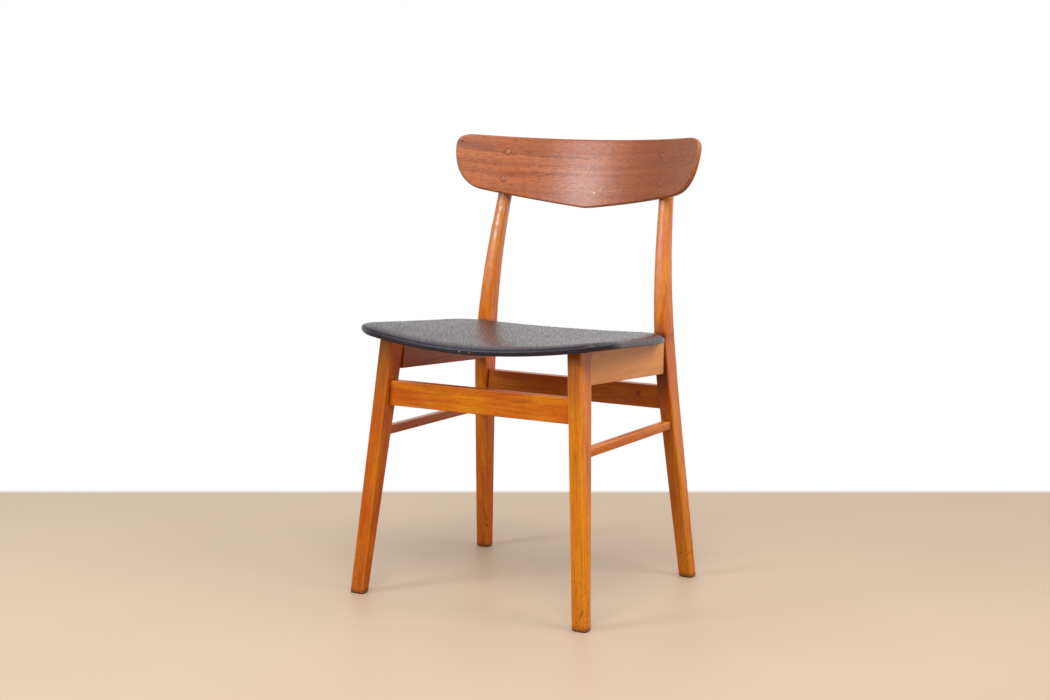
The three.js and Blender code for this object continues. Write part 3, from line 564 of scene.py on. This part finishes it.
def plain_wood(name, light, dark, rough):
    """Unstained wood: dowels, and the raw plywood under the seat."""
    material, wood = new_finish(name)
    grain = wood.place(along=(0, 1, 0))
    streaks = wood.noise(wood.stretch(grain, (8, 160, 160)), detail=3.0, roughness=0.6)
    hair = wood.noise(wood.stretch(grain, (60, 1400, 1400)), detail=2.0)
    blotch = wood.noise(grain, scale=9, detail=2.0)
    colour = wood.mix(wood.span(streaks * 0.6 + blotch * 0.4, 0.36, 0.66), light, dark)
    colour = wood.mix(wood.span(hair, 0.5, 0.75) * 0.25, colour, dark)
    bumps = wood.bump(hair + streaks, 0.06 * MM, 0.5)
    wood.principled({"Base Color": colour, "Roughness": rough + streaks * 0.1, "Normal": bumps})
    return material


# Seat and metal finishes


def black_vinyl(name):
    """Upholstery vinyl: embossed pebble grain, stretched smooth over the rim and polished by wear."""
    material, hide = new_finish(name)
    here = hide.here()
    taut = hide.attribute("taut", output=2)
    pebbles = hide.cells(hide.stretch(here, (1.0, 0.55, 1.0)), scale=420, feature="SMOOTH_F1")
    creases = hide.cells(hide.stretch(here, (1.0, 0.42, 1.0)), scale=300, feature="DISTANCE_TO_EDGE")
    valley = 1 - hide.span(creases, 0.0, 0.16)
    ribs = hide.noise(hide.stretch(hide.place(VINYL_RUN), (20, 480, 20)), detail=1.0)
    fine = hide.noise(here, scale=2300, detail=2.0)
    worn = hide.noise(here, scale=11, detail=3.0, roughness=0.6)
    dust = hide.span(hide.noise(here, scale=900, detail=2.0), 0.62, 0.74)

    colour = hide.mix(hide.span(worn, 0.35, 0.7), srgb(34, 25, 38), srgb(46, 36, 50))
    # The taut rim is darker, partly its smooth stretched skin and partly painted shade on the band; the
    # grain's valleys get painted shade
    colour = hide.mix(taut, colour, srgb(12, 12, 18))
    colour = hide.mix(valley * 0.6, colour, srgb(9, 8, 10))
    colour = hide.mix(dust * (1 - taut) * 0.2, colour, srgb(130, 120, 118))
    for place, size, tint in COVER_MARKS:
        colour = hide.mix(1 - hide.span(hide.distance(here, place), size * 0.5, size), colour, tint)

    ridge = hide.span(ribs, 0.42, 0.58)
    loose = 0.14 + ridge * 0.08 + valley * 0.06
    rough = 0.13 + (1 - taut) * loose + fine * 0.04
    grain = (1 - pebbles) * 0.7 - valley * 0.6 + fine * 0.15
    bumps = hide.bump(grain * (1 - taut * 0.93), 0.2 * MM, 0.55)
    sockets = {"Base Color": colour, "Roughness": rough, "Normal": bumps, "IOR": 1.45}
    sockets["Specular Tint"] = (1, 0.965, 0.985, 1)
    sockets["Coat Weight"] = (0.27 - ridge * 0.14) * (1 - taut)
    sockets.update({"Coat Roughness": 0.3, "Coat IOR": 1.5})
    hide.principled(sockets)
    return material


def seat_foam(name):
    """Open-celled foam, yellowed with age."""
    material, foam = new_finish(name)
    here = foam.here()
    pores = foam.cells(here, scale=900)
    patches = foam.noise(here, scale=30, detail=3.0)
    colour = foam.mix(patches, srgb(222, 200, 142), srgb(196, 164, 96))
    # The pores get painted shade
    colour = foam.mix(1 - foam.span(pores, 0.1, 0.5), colour, srgb(150, 120, 66))
    bumps = foam.bump(pores, 0.4 * MM, 0.8)
    foam.principled({"Base Color": colour, "Roughness": 0.92 - patches * 0.1, "Normal": bumps})
    return material


def plated_steel(name):
    """Zinc-plated steel, dulled by age."""
    material, metal = new_finish(name)
    here = metal.here()
    tarnish = metal.noise(here, scale=300, detail=4.0, roughness=0.65)
    scratches = metal.noise(metal.stretch(here, (2500, 300, 300)), detail=2.0)
    colour = metal.mix(metal.span(tarnish, 0.4, 0.7), srgb(176, 172, 164), srgb(120, 104, 84))
    bumps = metal.bump(scratches, 0.03 * MM, 0.4)
    rough = 0.32 + tarnish * 0.25
    metal.principled({"Base Color": colour, "Metallic": 0.95, "Roughness": rough, "Normal": bumps})
    return material


# Making pieces


def new_piece(name, bm, finish):
    """Turns a bmesh into a piece that rides with the frame and takes its finish from a slot."""
    mesh = bpy.data.meshes.new(name)
    bm.to_mesh(mesh)
    bm.free()
    mesh.materials.append(finish)
    piece = bpy.data.objects.new(name, mesh)
    bpy.context.scene.collection.objects.link(piece)
    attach(piece, "root")
    return piece


def refinish(word, finish):
    """Gives the CAD's pieces of one kind a finish."""
    for name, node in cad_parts.items():
        if word in name:
            node.data.materials[0] = finish


def even_shading(piece):
    modifier = piece.modifiers.new("even_shading", "WEIGHTED_NORMAL")
    modifier.keep_sharp = True
    modifier.weight = 80


def shade_smooth(bm, sharp_angle):
    for face in bm.faces:
        face.smooth = True
    for edge in bm.edges:
        edge.smooth = not edge.is_boundary and edge.calc_face_angle(0.0) < math.radians(sharp_angle)


def new_verts(geometry):
    return [item for item in geometry if isinstance(item, bmesh.types.BMVert)]


def new_edges(geometry):
    return [item for item in geometry if isinstance(item, bmesh.types.BMEdge)]


def edges_at(verts):
    return list({edge for vert in verts for edge in vert.link_edges})


def cut_across(bm, place, direction):
    geometry = bm.verts[:] + bm.edges[:] + bm.faces[:]
    bmesh.ops.bisect_plane(bm, geom=geometry, dist=CUT_REACH, plane_co=place, plane_no=direction)


def round_edges(bm, edges, size, segments):
    bmesh.ops.bevel(
        bm, geom=edges, offset=size, offset_type="OFFSET", segments=segments, profile=0.5,
        affect="EDGES", material=-1, clamp_overlap=True,
    )


def copied_solid(node):
    """A bmesh of a CAD solid's triangles, merged."""
    bm = bmesh.new()
    bm.from_mesh(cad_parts[node].data)
    bmesh.ops.remove_doubles(bm, verts=bm.verts, dist=WELD)
    return bm


# Beech frame


def mark_corners_and_fronts(bm, along):
    """Marks vertices round a squared piece's corners, for wear and a painted highlight, and those on faces
    that look forward, for painted shade.
    """
    wear = bm.verts.layers.float.new("edge")
    front = bm.verts.layers.float.new("front")
    for vert in bm.verts:
        normal = vert.normal - along * vert.normal.dot(along)
        if normal.length < 0.2:
            continue
        normal.normalize()
        side = min(abs(normal.x), max(abs(normal.y), abs(normal.z)))
        vert[wear] = clamp(side * 1.6 - 0.1)
        vert[front] = clamp(-normal.y * 2 - 0.9)


def mark_joints(bm, low, high):
    """Marks the two ends of a piece, where glue and stain gather by the joints."""
    near = bm.verts.layers.float.new("joint")
    for vert in bm.verts:
        end = min((vert.co - low).length, (vert.co - high).length)
        vert[near] = clamp(1 - end / JOINT_REACH)


def middle_of(verts):
    return sum((vert.co for vert in verts), Vector()) / len(verts)


def ends_of(bm, along):
    """Middles of the vertices at a piece's two ends."""
    reach = sorted(bm.verts, key=lambda vert: vert.co.dot(along))
    few = max(4, len(reach) // 12)
    return middle_of(reach[:few]), middle_of(reach[-few:])


def end_caps(bm, along):
    """Where a piece ends: the outward normal of each end face, and the face's reach along it."""
    caps = []
    for way in (along, -along):
        facing = [face for face in bm.faces if face.normal.dot(way) > 0.7]
        if facing:
            cap = max(facing, key=lambda face: face.calc_area())
            caps.append((cap.normal.copy(), cap.normal.dot(cap.calc_center_median())))
    return caps


def planed_piece(board):
    """A piece of the frame: the CAD solid's copy, cut across at even steps, worn and given a painted
    highlight at its corners.
    """
    bm = copied_solid(board.node)
    bmesh.ops.dissolve_limit(
        bm, angle_limit=FLAT_WITHIN, verts=bm.verts, edges=bm.edges, delimit=set()
    )
    along = Vector(board.along).normalized()
    caps = end_caps(bm, along)
    low, high = ends_of(bm, along)
    length = (high - low).dot(along)
    cuts = max(2, round(length / FRAME_CUT))
    for cut in range(1, cuts):
        cut_across(bm, low + along * (length * cut / cuts), along)
    bm.normal_update()
    mark_corners_and_fronts(bm, along)
    mark_joints(bm, low, high)
    shade_smooth(bm, 38)
    name = "beech_" + board.node
    piece = new_piece(name, bm, stained_beech(name, board, caps))
    even_shading(piece)
    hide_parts(board.node)


# Back panel

BACK_LEAN = Vector((0, math.sin(BACK_TILT), math.cos(BACK_TILT)))
BACK_FACING = Vector((0, -math.cos(BACK_TILT), math.sin(BACK_TILT)))


def wrapped(flat):
    """Where a point of the flat sheet (width, height, depth) lies on the moulded panel."""
    turn = flat.x / BACK_RADIUS
    reach = BACK_RADIUS + flat.z
    place = BACK_AXIS + BACK_LEAN * (flat.y - BACK_HEIGHT) + RIGHT * (reach * math.sin(turn))
    return place - BACK_FACING * (reach * math.cos(turn))


def unwrapped(place):
    """The sheet's width and height at a point of the chair."""
    arm = place - BACK_AXIS
    turn = math.atan2(arm.x, -arm.dot(BACK_FACING))
    return Vector((turn * BACK_RADIUS, arm.dot(BACK_LEAN) + BACK_HEIGHT, 0))


def wrap_sheet(bm):
    """Keeps every vertex's place on the sheet for the figure, then bends the sheet."""
    sheet = bm.verts.layers.float_vector.new("sheet")
    for vert in bm.verts:
        vert[sheet] = vert.co
        vert.co = wrapped(vert.co)


def soft_curve(start, bend, end, steps):
    """Points of a curve with one bend, without its first."""
    first = start + (bend - start) * (2 / 3)
    second = end + (bend - end) * (2 / 3)
    return interpolate_bezier(start, first, second, end, steps + 1)[1:]


def straight(start, end, steps):
    """Evenly stepped points of a straight line, without its first."""
    return [start.lerp(end, step / steps) for step in range(1, steps + 1)]


def with_mirror_image(half):
    """Closes half an outline, whose two ends lie on the middle line, with its mirror image."""
    return half + [Vector((-point.x, point.y, 0)) for point in half[-2:0:-1]]


def back_outline():
    """The panel's edge, from the middle of its top to the V of its lower edge and back."""
    def at(across, rise):
        return Vector((across * BACK_HALF_WIDTH, rise * BACK_HEIGHT, 0))
    top = at(0, 1)
    top_end = at(0.877, 0.964)
    side_top = at(1, 0.764)
    lower_end = at(0.776, 0.161)
    v_start = at(0.093, 0.017)
    half = [top]
    half += soft_curve(top, Vector((top_end.x / 2, BACK_HEIGHT, 0)), top_end, 20)
    half += soft_curve(top_end, at(1.003, 0.953), side_top, 18)
    half += interpolate_bezier(side_top, at(0.997, 0.54), at(0.953, 0.2), lower_end, 25)[1:]
    half += straight(lower_end, v_start, 14)
    half += soft_curve(v_start, at(0.02, 0), at(0, 0), 6)
    return with_mirror_image(half)


def rim_edges(bm, depth):
    """Edges round the sheet at one depth."""
    return [
        edge
        for edge in bm.edges
        if all(abs(vert.co.z - depth) < WELD for vert in edge.verts)
        and len({round(face.normal.z, 2) for face in edge.link_faces}) > 1
    ]


def back_panel(plug_places):
    """The moulded panel, made flat with its rounded rim and plug holes, and then bent."""
    bm = bmesh.new()
    face = bm.faces.new([bm.verts.new(point) for point in back_outline()])
    body = bmesh.ops.extrude_face_region(bm, geom=[face])["geom"]
    bmesh.ops.translate(bm, verts=new_verts(body), vec=(0, 0, BACK_THICKNESS))
    bmesh.ops.recalc_face_normals(bm, faces=bm.faces)
    round_edges(bm, rim_edges(bm, 0), BACK_FRONT_EDGE, BACK_EDGE_SEGMENTS)
    round_edges(bm, rim_edges(bm, BACK_THICKNESS), BACK_REAR_EDGE, BACK_EDGE_SEGMENTS)
    drill_plug_holes(bm, plug_places)
    columns = int(BACK_HALF_WIDTH / BACK_CUT_ACROSS)
    for column in range(-columns, columns + 1):
        cut_across(bm, Vector((column * BACK_CUT_ACROSS, 0, 0)), RIGHT)
    for row in range(int(BACK_HEIGHT / BACK_CUT_UP)):
        cut_across(bm, Vector((0, BACK_FIRST_CUT_UP + row * BACK_CUT_UP, 0)), Vector((0, 1, 0)))
    wrap_sheet(bm)
    bmesh.ops.recalc_face_normals(bm, faces=bm.faces)
    shade_smooth(bm, 40)
    piece = new_piece("teak_back_panel", bm, teak_panel("teak_panel", plug_places))
    even_shading(piece)
    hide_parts("backrest_panel")


def drill_plug_holes(bm, plug_places):
    """Opens the front face round each plug and gives each hole its wall and floor."""
    front = next(face for face in bm.faces if all(vert.co.z < WELD for vert in face.verts))
    open_edges = list(front.edges)
    bmesh.ops.delete(bm, geom=[front], context="FACES_ONLY")
    rings = []
    for place in plug_places:
        at = Matrix.Translation(place)
        ring = bmesh.ops.create_circle(bm, segments=PLUG_SIDES, radius=PLUG_HOLE_RADIUS, matrix=at)
        rings.append(edges_at(ring["verts"]))
        open_edges += rings[-1]
    bmesh.ops.triangle_fill(bm, use_beauty=True, use_dissolve=False, edges=open_edges)
    for edges in rings:
        wall = bmesh.ops.extrude_edge_only(bm, edges=edges)["geom"]
        bmesh.ops.translate(bm, verts=new_verts(wall), vec=(0, 0, PLUG_HOLE_DEPTH))
        bmesh.ops.contextual_create(bm, geom=new_edges(wall))


def back_plug(node, place, finish):
    """A turned plug, a touch domed, that sits just inside its hole."""
    bm = bmesh.new()
    at = Matrix.Translation((place.x, place.y, PLUG_SET_BACK))
    bmesh.ops.create_circle(bm, cap_ends=True, segments=PLUG_SIDES, radius=PLUG_RADIUS, matrix=at)
    face = bm.faces[:][0]
    if face.normal.z > 0:
        bmesh.ops.reverse_faces(bm, faces=[face])
    for inset, rise in PLUG_DOME:
        bmesh.ops.inset_individual(bm, faces=[face], thickness=inset, depth=rise)
    rim = [edge for edge in bm.edges if edge.is_boundary]
    wall = bmesh.ops.extrude_edge_only(bm, edges=rim)["geom"]
    bmesh.ops.translate(bm, verts=new_verts(wall), vec=(0, 0, PLUG_HEIGHT))
    bmesh.ops.contextual_create(bm, geom=new_edges(wall))
    wrap_sheet(bm)
    bmesh.ops.recalc_face_normals(bm, faces=bm.faces)
    shade_smooth(bm, 50)
    piece = new_piece(node.replace("backrest_plug", "teak_plug"), bm, finish)
    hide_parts(node)


# Seat


def seat_underside(x, y):
    """Height of the plywood's underside. Its hollow is deeper in front than behind."""
    depth = y + SEAT_SHIFT
    level = SEAT_LEVEL - (depth - SEAT_LEVEL_DEPTH) * math.tan(SEAT_TILT)
    scoop = lerp(*SEAT_SCOOPS, (depth - SEAT_FRONT) / (SEAT_REAR - SEAT_FRONT))
    return level - scoop * (SEAT_RAIL_WIDTH**2 - x**2) / SEAT_HALF_WIDTH**2


def seat_outline():
    """Points round the edge of the seat, with the inward direction at each."""
    front = Vector((0, SEAT_FRONT, 0))
    front_bend = Vector((SEAT_FRONT_END.x / 2, SEAT_FRONT, 0))
    rear = Vector((0, SEAT_REAR, 0))
    rear_bend = Vector((SEAT_REAR_END.x / 2, SEAT_REAR, 0))
    half = [front]
    half += soft_curve(front, front_bend, SEAT_FRONT_END, 24)
    half += soft_curve(SEAT_FRONT_END, SEAT_FRONT_CORNER, SEAT_SIDE_START, 26)
    half += straight(SEAT_SIDE_START, SEAT_SIDE_END, 22)
    half += soft_curve(SEAT_SIDE_END, SEAT_REAR_CORNER, SEAT_REAR_END, 26)
    half += soft_curve(SEAT_REAR_END, rear_bend, rear, 18)
    loop = with_mirror_image([point - Vector((0, SEAT_SHIFT, 0)) for point in half])
    inward = []
    for i in range(len(loop)):
        tangent = (loop[(i + 1) % len(loop)] - loop[i - 1]).normalized()
        inward.append(Vector((-tangent.y, tangent.x, 0)))
    return loop, inward


SEAT_LOOP, SEAT_INWARD = seat_outline()
SEAT_MIDDLE = Vector((0, (SEAT_FRONT + SEAT_REAR) / 2 - SEAT_SHIFT, 0))
STATIONS = range(len(SEAT_LOOP))


def plan_at(station, inset):
    return SEAT_LOOP[station] + SEAT_INWARD[station] * inset


def on_seat(plan, rise):
    return Vector((plan.x, plan.y, seat_underside(plan.x, plan.y) + rise))


def front_share(station):
    """1 where the edge of the seat faces forward, 0 along its sides and rear."""
    return clamp((SEAT_INWARD[station].y - RIM_CREASED_FROM) / RIM_BLEND)


def over_rail(point):
    """True where the cover would lie between a side rail and the plywood."""
    return abs(abs(point.x) - RAIL_MIDDLE) < RAIL_REACH and point.y > RAIL_START


def start_ring(bm, places):
    """The first ring of a seat piece, whose vertices know their stations round the seat."""
    stations = bm.verts.layers.int.new("station")
    ring = bmesh.ops.create_circle(bm, segments=len(places), radius=SEAT_HALF_WIDTH)["verts"]
    for i, vert in enumerate(ring):
        vert[stations] = i
        vert.co = places[i]
    return stations, bm.edges[:]


def next_ring(bm, stations, edges, places):
    """Draws the open rim on by one ring, whose vertices go to their stations' places."""
    made = bmesh.ops.extrude_edge_only(bm, edges=edges)["geom"]
    for vert in new_verts(made):
        vert.co = places[vert[stations]]
    return new_edges(made)


def crown_height(plan, run, inner_share):
    """Rise of the padding: from nothing at its edge to full where the crown's run ends."""
    back = clamp((plan.y + SEAT_SHIFT - SEAT_FRONT) / (SEAT_REAR - SEAT_FRONT))
    full = lerp(*CROWN_RISES, back) + CROWN_EXTRA * (1 - inner_share**2)
    return full * math.sqrt(1 - (1 - run) ** 2)


def seat_ripple(plan, run):
    """Slight unevenness of a pad that has been sat on."""
    wide = noise.noise(Vector((plan.x * 9, plan.y * 11, 3.1)))
    small = noise.noise(Vector((plan.x * 34, plan.y * 34, 7.7)))
    return (wide * 0.6 + small * 0.04) * run * MM


def crown_rings(bm, stations, edges, first_inset, base):
    """Covers the seat from the rim to its middle and closes it there."""
    full_inset = PAD_EDGE + CROWN_RUN
    rings = []
    for step in range(1, CROWN_STEPS + 1):
        inset = lerp(first_inset, full_inset, (step / CROWN_STEPS) ** 1.5)
        run = clamp((inset - PAD_EDGE) / CROWN_RUN)
        rings.append(([plan_at(i, inset) for i in STATIONS], run, 1))
    for share in INNER_SHARES:
        rings.append(([SEAT_MIDDLE.lerp(plan_at(i, full_inset), share) for i in STATIONS], 1, share))
    for plans, run, share in rings:
        rises = [base + crown_height(plan, run, share) + seat_ripple(plan, run) for plan in plans]
        places = [on_seat(plan, rise) for plan, rise in zip(plans, rises)]
        edges = next_ring(bm, stations, edges, places)
    bmesh.ops.contextual_create(bm, geom=edges)


def rim_place(station, creased, soft):
    """A point of the cover's rim, which hangs slack at the loose fold."""
    share = front_share(station)
    inset = lerp(soft[0], creased[0], share) * MM
    rise = lerp(soft[1], creased[1], share) * MM
    near_fold = clamp(1 - (SEAT_LOOP[station] - LOOSE_FOLD).length / LOOSE_FOLD_REACH)
    slack = near_fold * clamp(1 - rise / MM) * LOOSE_FOLD_SLACK
    return on_seat(plan_at(station, inset), rise - slack)


def flap_place(station, inset, rise):
    """A point of the flap under the seat, which is pleated at the corners."""
    bend = SEAT_INWARD[station - 3].angle(SEAT_INWARD[(station + 3) % len(SEAT_INWARD)])
    pleat = clamp(bend * 5) * abs(math.sin(station * 0.9)) * clamp((inset - 2) / 10)
    return on_seat(plan_at(station, inset * MM), rise * MM - pleat * PLEAT_DEPTH)


def pinched(face):
    """True for a face of the cover that would be pinched between a rail and the plywood."""
    middle = face.calc_center_median()
    return over_rail(middle) and middle.z < seat_underside(middle.x, middle.y) - RAIL_CLEARANCE


def seat_cover():
    """The vinyl, from its stapled flap round the rim to the middle of the crown."""
    bm = bmesh.new()
    flap = [[flap_place(i, inset, rise) for i in STATIONS] for inset, rise in FLAP]
    rim = [[rim_place(i, *pair) for i in STATIONS] for pair in zip(CREASED_RIM, SOFT_RIM)]
    stations, edges = start_ring(bm, flap[0])
    for places in flap[1:] + rim:
        edges = next_ring(bm, stations, edges, places)
    stretched = set(bm.verts)
    crown_rings(bm, stations, edges, RIM_END, PLY_TOP)
    taut = bm.verts.layers.float.new("taut")
    for vert in bm.verts:
        vert[taut] = float(vert in stretched)
    bmesh.ops.delete(bm, geom=[face for face in bm.faces if pinched(face)], context="FACES")
    bmesh.ops.recalc_face_normals(bm, faces=bm.faces)
    if max(bm.faces, key=lambda face: face.calc_center_median().z).normal.z < 0:
        bmesh.ops.reverse_faces(bm, faces=bm.faces)
    shade_smooth(bm, 80)
    piece = new_piece("vinyl_seat_cover", bm, black_vinyl("black_vinyl"))
    skin = piece.modifiers.new("skin", "SOLIDIFY")
    skin.thickness = COVER_THICKNESS
    skin.offset = -1
    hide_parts("seat_cover")


def seat_pad():
    """The foam under the cover, flat on the plywood and crowned above."""
    bm = bmesh.new()
    floor = []
    for share in (*INNER_SHARES[::-1], 1):
        plans = [SEAT_MIDDLE.lerp(plan_at(i, PAD_INSET), share) for i in STATIONS]
        floor.append([on_seat(plan, PAD_FLOOR) for plan in plans])
    stations, edges = start_ring(bm, floor[0])
    bmesh.ops.contextual_create(bm, geom=edges)
    for places in floor[1:]:
        edges = next_ring(bm, stations, edges, places)
    crown_rings(bm, stations, edges, PAD_INSET, PAD_FLOOR)
    bmesh.ops.remove_doubles(bm, verts=bm.verts, dist=WELD)
    bmesh.ops.recalc_face_normals(bm, faces=bm.faces)
    shade_smooth(bm, 50)
    piece = new_piece("foam_seat_pad", bm, seat_foam("seat_foam"))
    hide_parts("seat_pad")


def seat_shell():
    """The plywood, with its front edge drawn back behind the roll of the cover."""
    bm = copied_solid("seat_shell")
    for vert in bm.verts:
        plan = Vector((vert.co.x, vert.co.y, 0))
        station = min(STATIONS, key=lambda i: (SEAT_LOOP[i] - plan).length)
        short = PLY_TUCK - (plan - SEAT_LOOP[station]).dot(SEAT_INWARD[station])
        if short > 0:
            vert.co += SEAT_INWARD[station] * (short * PLY_TUCK_SHARE * front_share(station))
    bmesh.ops.recalc_face_normals(bm, faces=bm.faces)
    shade_smooth(bm, 40)
    ply = plain_wood("seat_plywood", srgb(214, 178, 128), srgb(168, 124, 78), 0.62)
    piece = new_piece("moulded_seat_shell", bm, ply)
    even_shading(piece)
    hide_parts("seat_shell")


def seat_staples(steel):
    """Staples that hold the cover's flap under the plywood."""
    bm = bmesh.new()
    run = 0.0
    for i, point in enumerate(SEAT_LOOP):
        run += (point - SEAT_LOOP[i - 1]).length
        if run < STAPLE_SPACING:
            continue
        run = 0.0
        plan = plan_at(i, STAPLE_INSET)
        if over_rail(plan):
            continue
        tangent = SEAT_INWARD[i].cross(UP)
        turn = math.atan2(tangent.y, tangent.x) + STAPLE_SWING * math.sin(i * 2.7)
        at = Matrix.Translation(on_seat(plan, -STAPLE_DROP)) @ Matrix.Rotation(turn, 4, "Z")
        size = Matrix.Diagonal((*STAPLE_SIZE, 1))
        wire = bmesh.ops.create_cube(bm, size=1, matrix=at @ size)["verts"]
        round_edges(bm, edges_at(wire), STAPLE_EDGE, 2)
    shade_smooth(bm, 60)
    new_piece("seat_staples", bm, steel)


# Studio


def soft_light(name, place, target, size, power, tint=(1, 1, 1)):
    """A rectangular softbox that looks at its target."""
    data = bpy.data.lights.new(name, "AREA")
    data.shape = "RECTANGLE"
    data.size, data.size_y = size
    data.energy = power
    data.color = tint
    light = bpy.data.objects.new(name, data)
    bpy.context.scene.collection.objects.link(light)
    light.location = place
    light.rotation_euler = (Vector(target) - Vector(place)).to_track_quat("-Z", "Y").to_euler()


def studio_world():
    """A white wall behind the chair, a dimmer ceiling and right side, and a dark room in front."""
    world = bpy.data.worlds.new("studio")
    bpy.context.scene.world = world
    world.use_nodes = True
    room = Finish(world.node_tree)
    across, back, up = room.parts(room.node("TexCoord", output=0))
    away = back * math.cos(CAMERA_TURN) - across * math.sin(CAMERA_TURN)
    wall = room.span(away, 0.0, 0.35)
    ceiling = room.span(up, 0.2, 0.8)
    side = room.span(across, 0.0, 0.65)
    level = wall * 0.97 + (0.03 + ceiling * 0.6 + side * 0.32) * (1 - wall)
    lit = room.node("Background", {}, {"Color": srgb(255, 253, 250), "Strength": level})
    shown = room.node("Background", {}, {"Color": (1, 1, 1, 1), "Strength": 1.0})
    seen = room.node("LightPath", output=0)
    room.node("OutputWorld", {}, {"Surface": room.node("MixShader", {}, {0: seen, 1: lit, 2: shown})})


def pale_floor():
    """A plain floor that turns white at the wall's line and far from the chair."""
    bm = bmesh.new()
    bmesh.ops.create_grid(bm, x_segments=4, y_segments=4, size=FLOOR_REACH)
    mesh = bpy.data.meshes.new("pale_floor")
    bm.to_mesh(mesh)
    bm.free()
    material, ground = new_finish("pale_floor")
    here = ground.here()
    x, y = ground.parts(here)[:2]
    seen = ground.node("LightPath", output=0)
    distance = (x * x + y * y) ** 0.5
    away = y * math.cos(CAMERA_TURN) - x * math.sin(CAMERA_TURN)
    soft = ground.noise(here, scale=3, detail=2.0)
    colour = ground.mix(soft, srgb(194, 171, 147), srgb(188, 164, 140))
    colour = ground.mix(seen, srgb(150, 128, 98), colour)
    near = ground.node("BsdfPrincipled", {}, {"Base Color": colour, "Roughness": 0.5, "IOR": 1.4})
    far = ground.node("Emission", {}, {"Color": (1, 1, 1, 1), "Strength": 1.0})
    wall = ground.span(away, *WALL_LINE)
    share = wall + (1 - wall) * ground.span(distance, *FLOOR_FADE) * seen
    ground.surface(ground.node("MixShader", {}, {0: share, 1: near, 2: far}))
    mesh.materials.append(material)
    floor = bpy.data.objects.new("pale_floor", mesh)
    bpy.context.scene.collection.objects.link(floor)


def studio_camera():
    data = bpy.data.cameras.new("photo_view")
    data.lens = CAMERA_LENS
    data.sensor_width = CAMERA_SENSOR
    camera = bpy.data.objects.new("photo_view", data)
    bpy.context.scene.collection.objects.link(camera)
    camera.location = CAMERA_PLACE
    camera.rotation_euler = (math.radians(90) - CAMERA_DOWN, 0, CAMERA_TURN)
    bpy.context.scene.camera = camera


# Assembly

studio_camera()
studio_world()
pale_floor()
soft_light("front_left_window", (-1.41, -2.3, 1.55), (0, 0.2, 0.62), (0.85, 1.1), 36, (0.8, 0.94, 1))
soft_light("high_softbox", (0.6, -1.3, 2.35), (0, 0, 0.5), (1.3, 1.3), 34)
soft_light("right_softbox", (1.8, 0.0, 1.95), (0.2, 0.15, 0.7), (1.0, 1.0), 18)
bpy.context.scene.view_settings.view_transform = "Standard"

plug_nodes = [
    f"backrest_plug_{level}_{side}" for level in ("upper", "lower") for side in ("left", "right")
]
plug_places = [unwrapped(sum(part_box(node), Vector()) / 2) for node in plug_nodes]
plug_finish = teak_plug("teak_plug")
back_panel(plug_places)
for node, place in zip(plug_nodes, plug_places):
    back_plug(node, place, plug_finish)

FRAME_BOARDS = (
    Board("front_leg_left", (-0.083, -0.125, -1), (0.0, 0.1, 0.2), tone=0.75, depth=0.03, painted_seat_shade=0.4),
    Board("front_leg_right", (0.083, -0.125, -1), (0.7, 0.3, 0.5), tone=-0.2, depth=0.026, painted_seat_shade=0.3),
    Board("rear_leg_left", (-0.03, -0.04, 1), (1.3, 0.5, 0.9), tone=0.3, painted_seat_shade=0.6, handling=1),
    Board(
        "rear_leg_right", (0.03, -0.04, 1), (2.1, 0.8, 1.2),
        tone=0.1, depth=0.06, painted_seat_shade=0.7, handling=0.4,
    ),
    Board("seat_rail_left", (0, 1, 0), (2.9, 1.1, 0.3), tone=0.6, depth=0.48, seam=0),
    Board("seat_rail_right", (0, 1, 0), (3.7, 1.5, 0.7), tone=-0.1, depth=-0.4, seam=5 * MM),
    Board("front_stretcher", (1, 0, 0), (4.1, 1.9, 1.1), tone=0.2),
    Board(
        "rear_stretcher", (1, 0, 0), (5.3, 2.3, 1.6),
        depth=0.07, knots=(((0.136, 0.1385, 0.331), 1.8 * MM),),
    ),
    Board("lower_stretcher_left", (0, 1, 0.05), (6.1, 2.7, 2.1), tone=0.3, depth=0.1, seam=4 * MM),
    Board("lower_stretcher_right", (0, 1, 0.05), (6.9, 3.1, 2.6), tone=0.2, depth=0.08, seam=4 * MM),
)
for board in FRAME_BOARDS:
    planed_piece(board)

steel = plated_steel("plated_steel")
seat_shell()
seat_pad()
seat_cover()
seat_staples(steel)

refinish("dowel", plain_wood("dowel_wood", srgb(222, 190, 142), srgb(184, 140, 92), 0.6))
refinish("screw", steel)

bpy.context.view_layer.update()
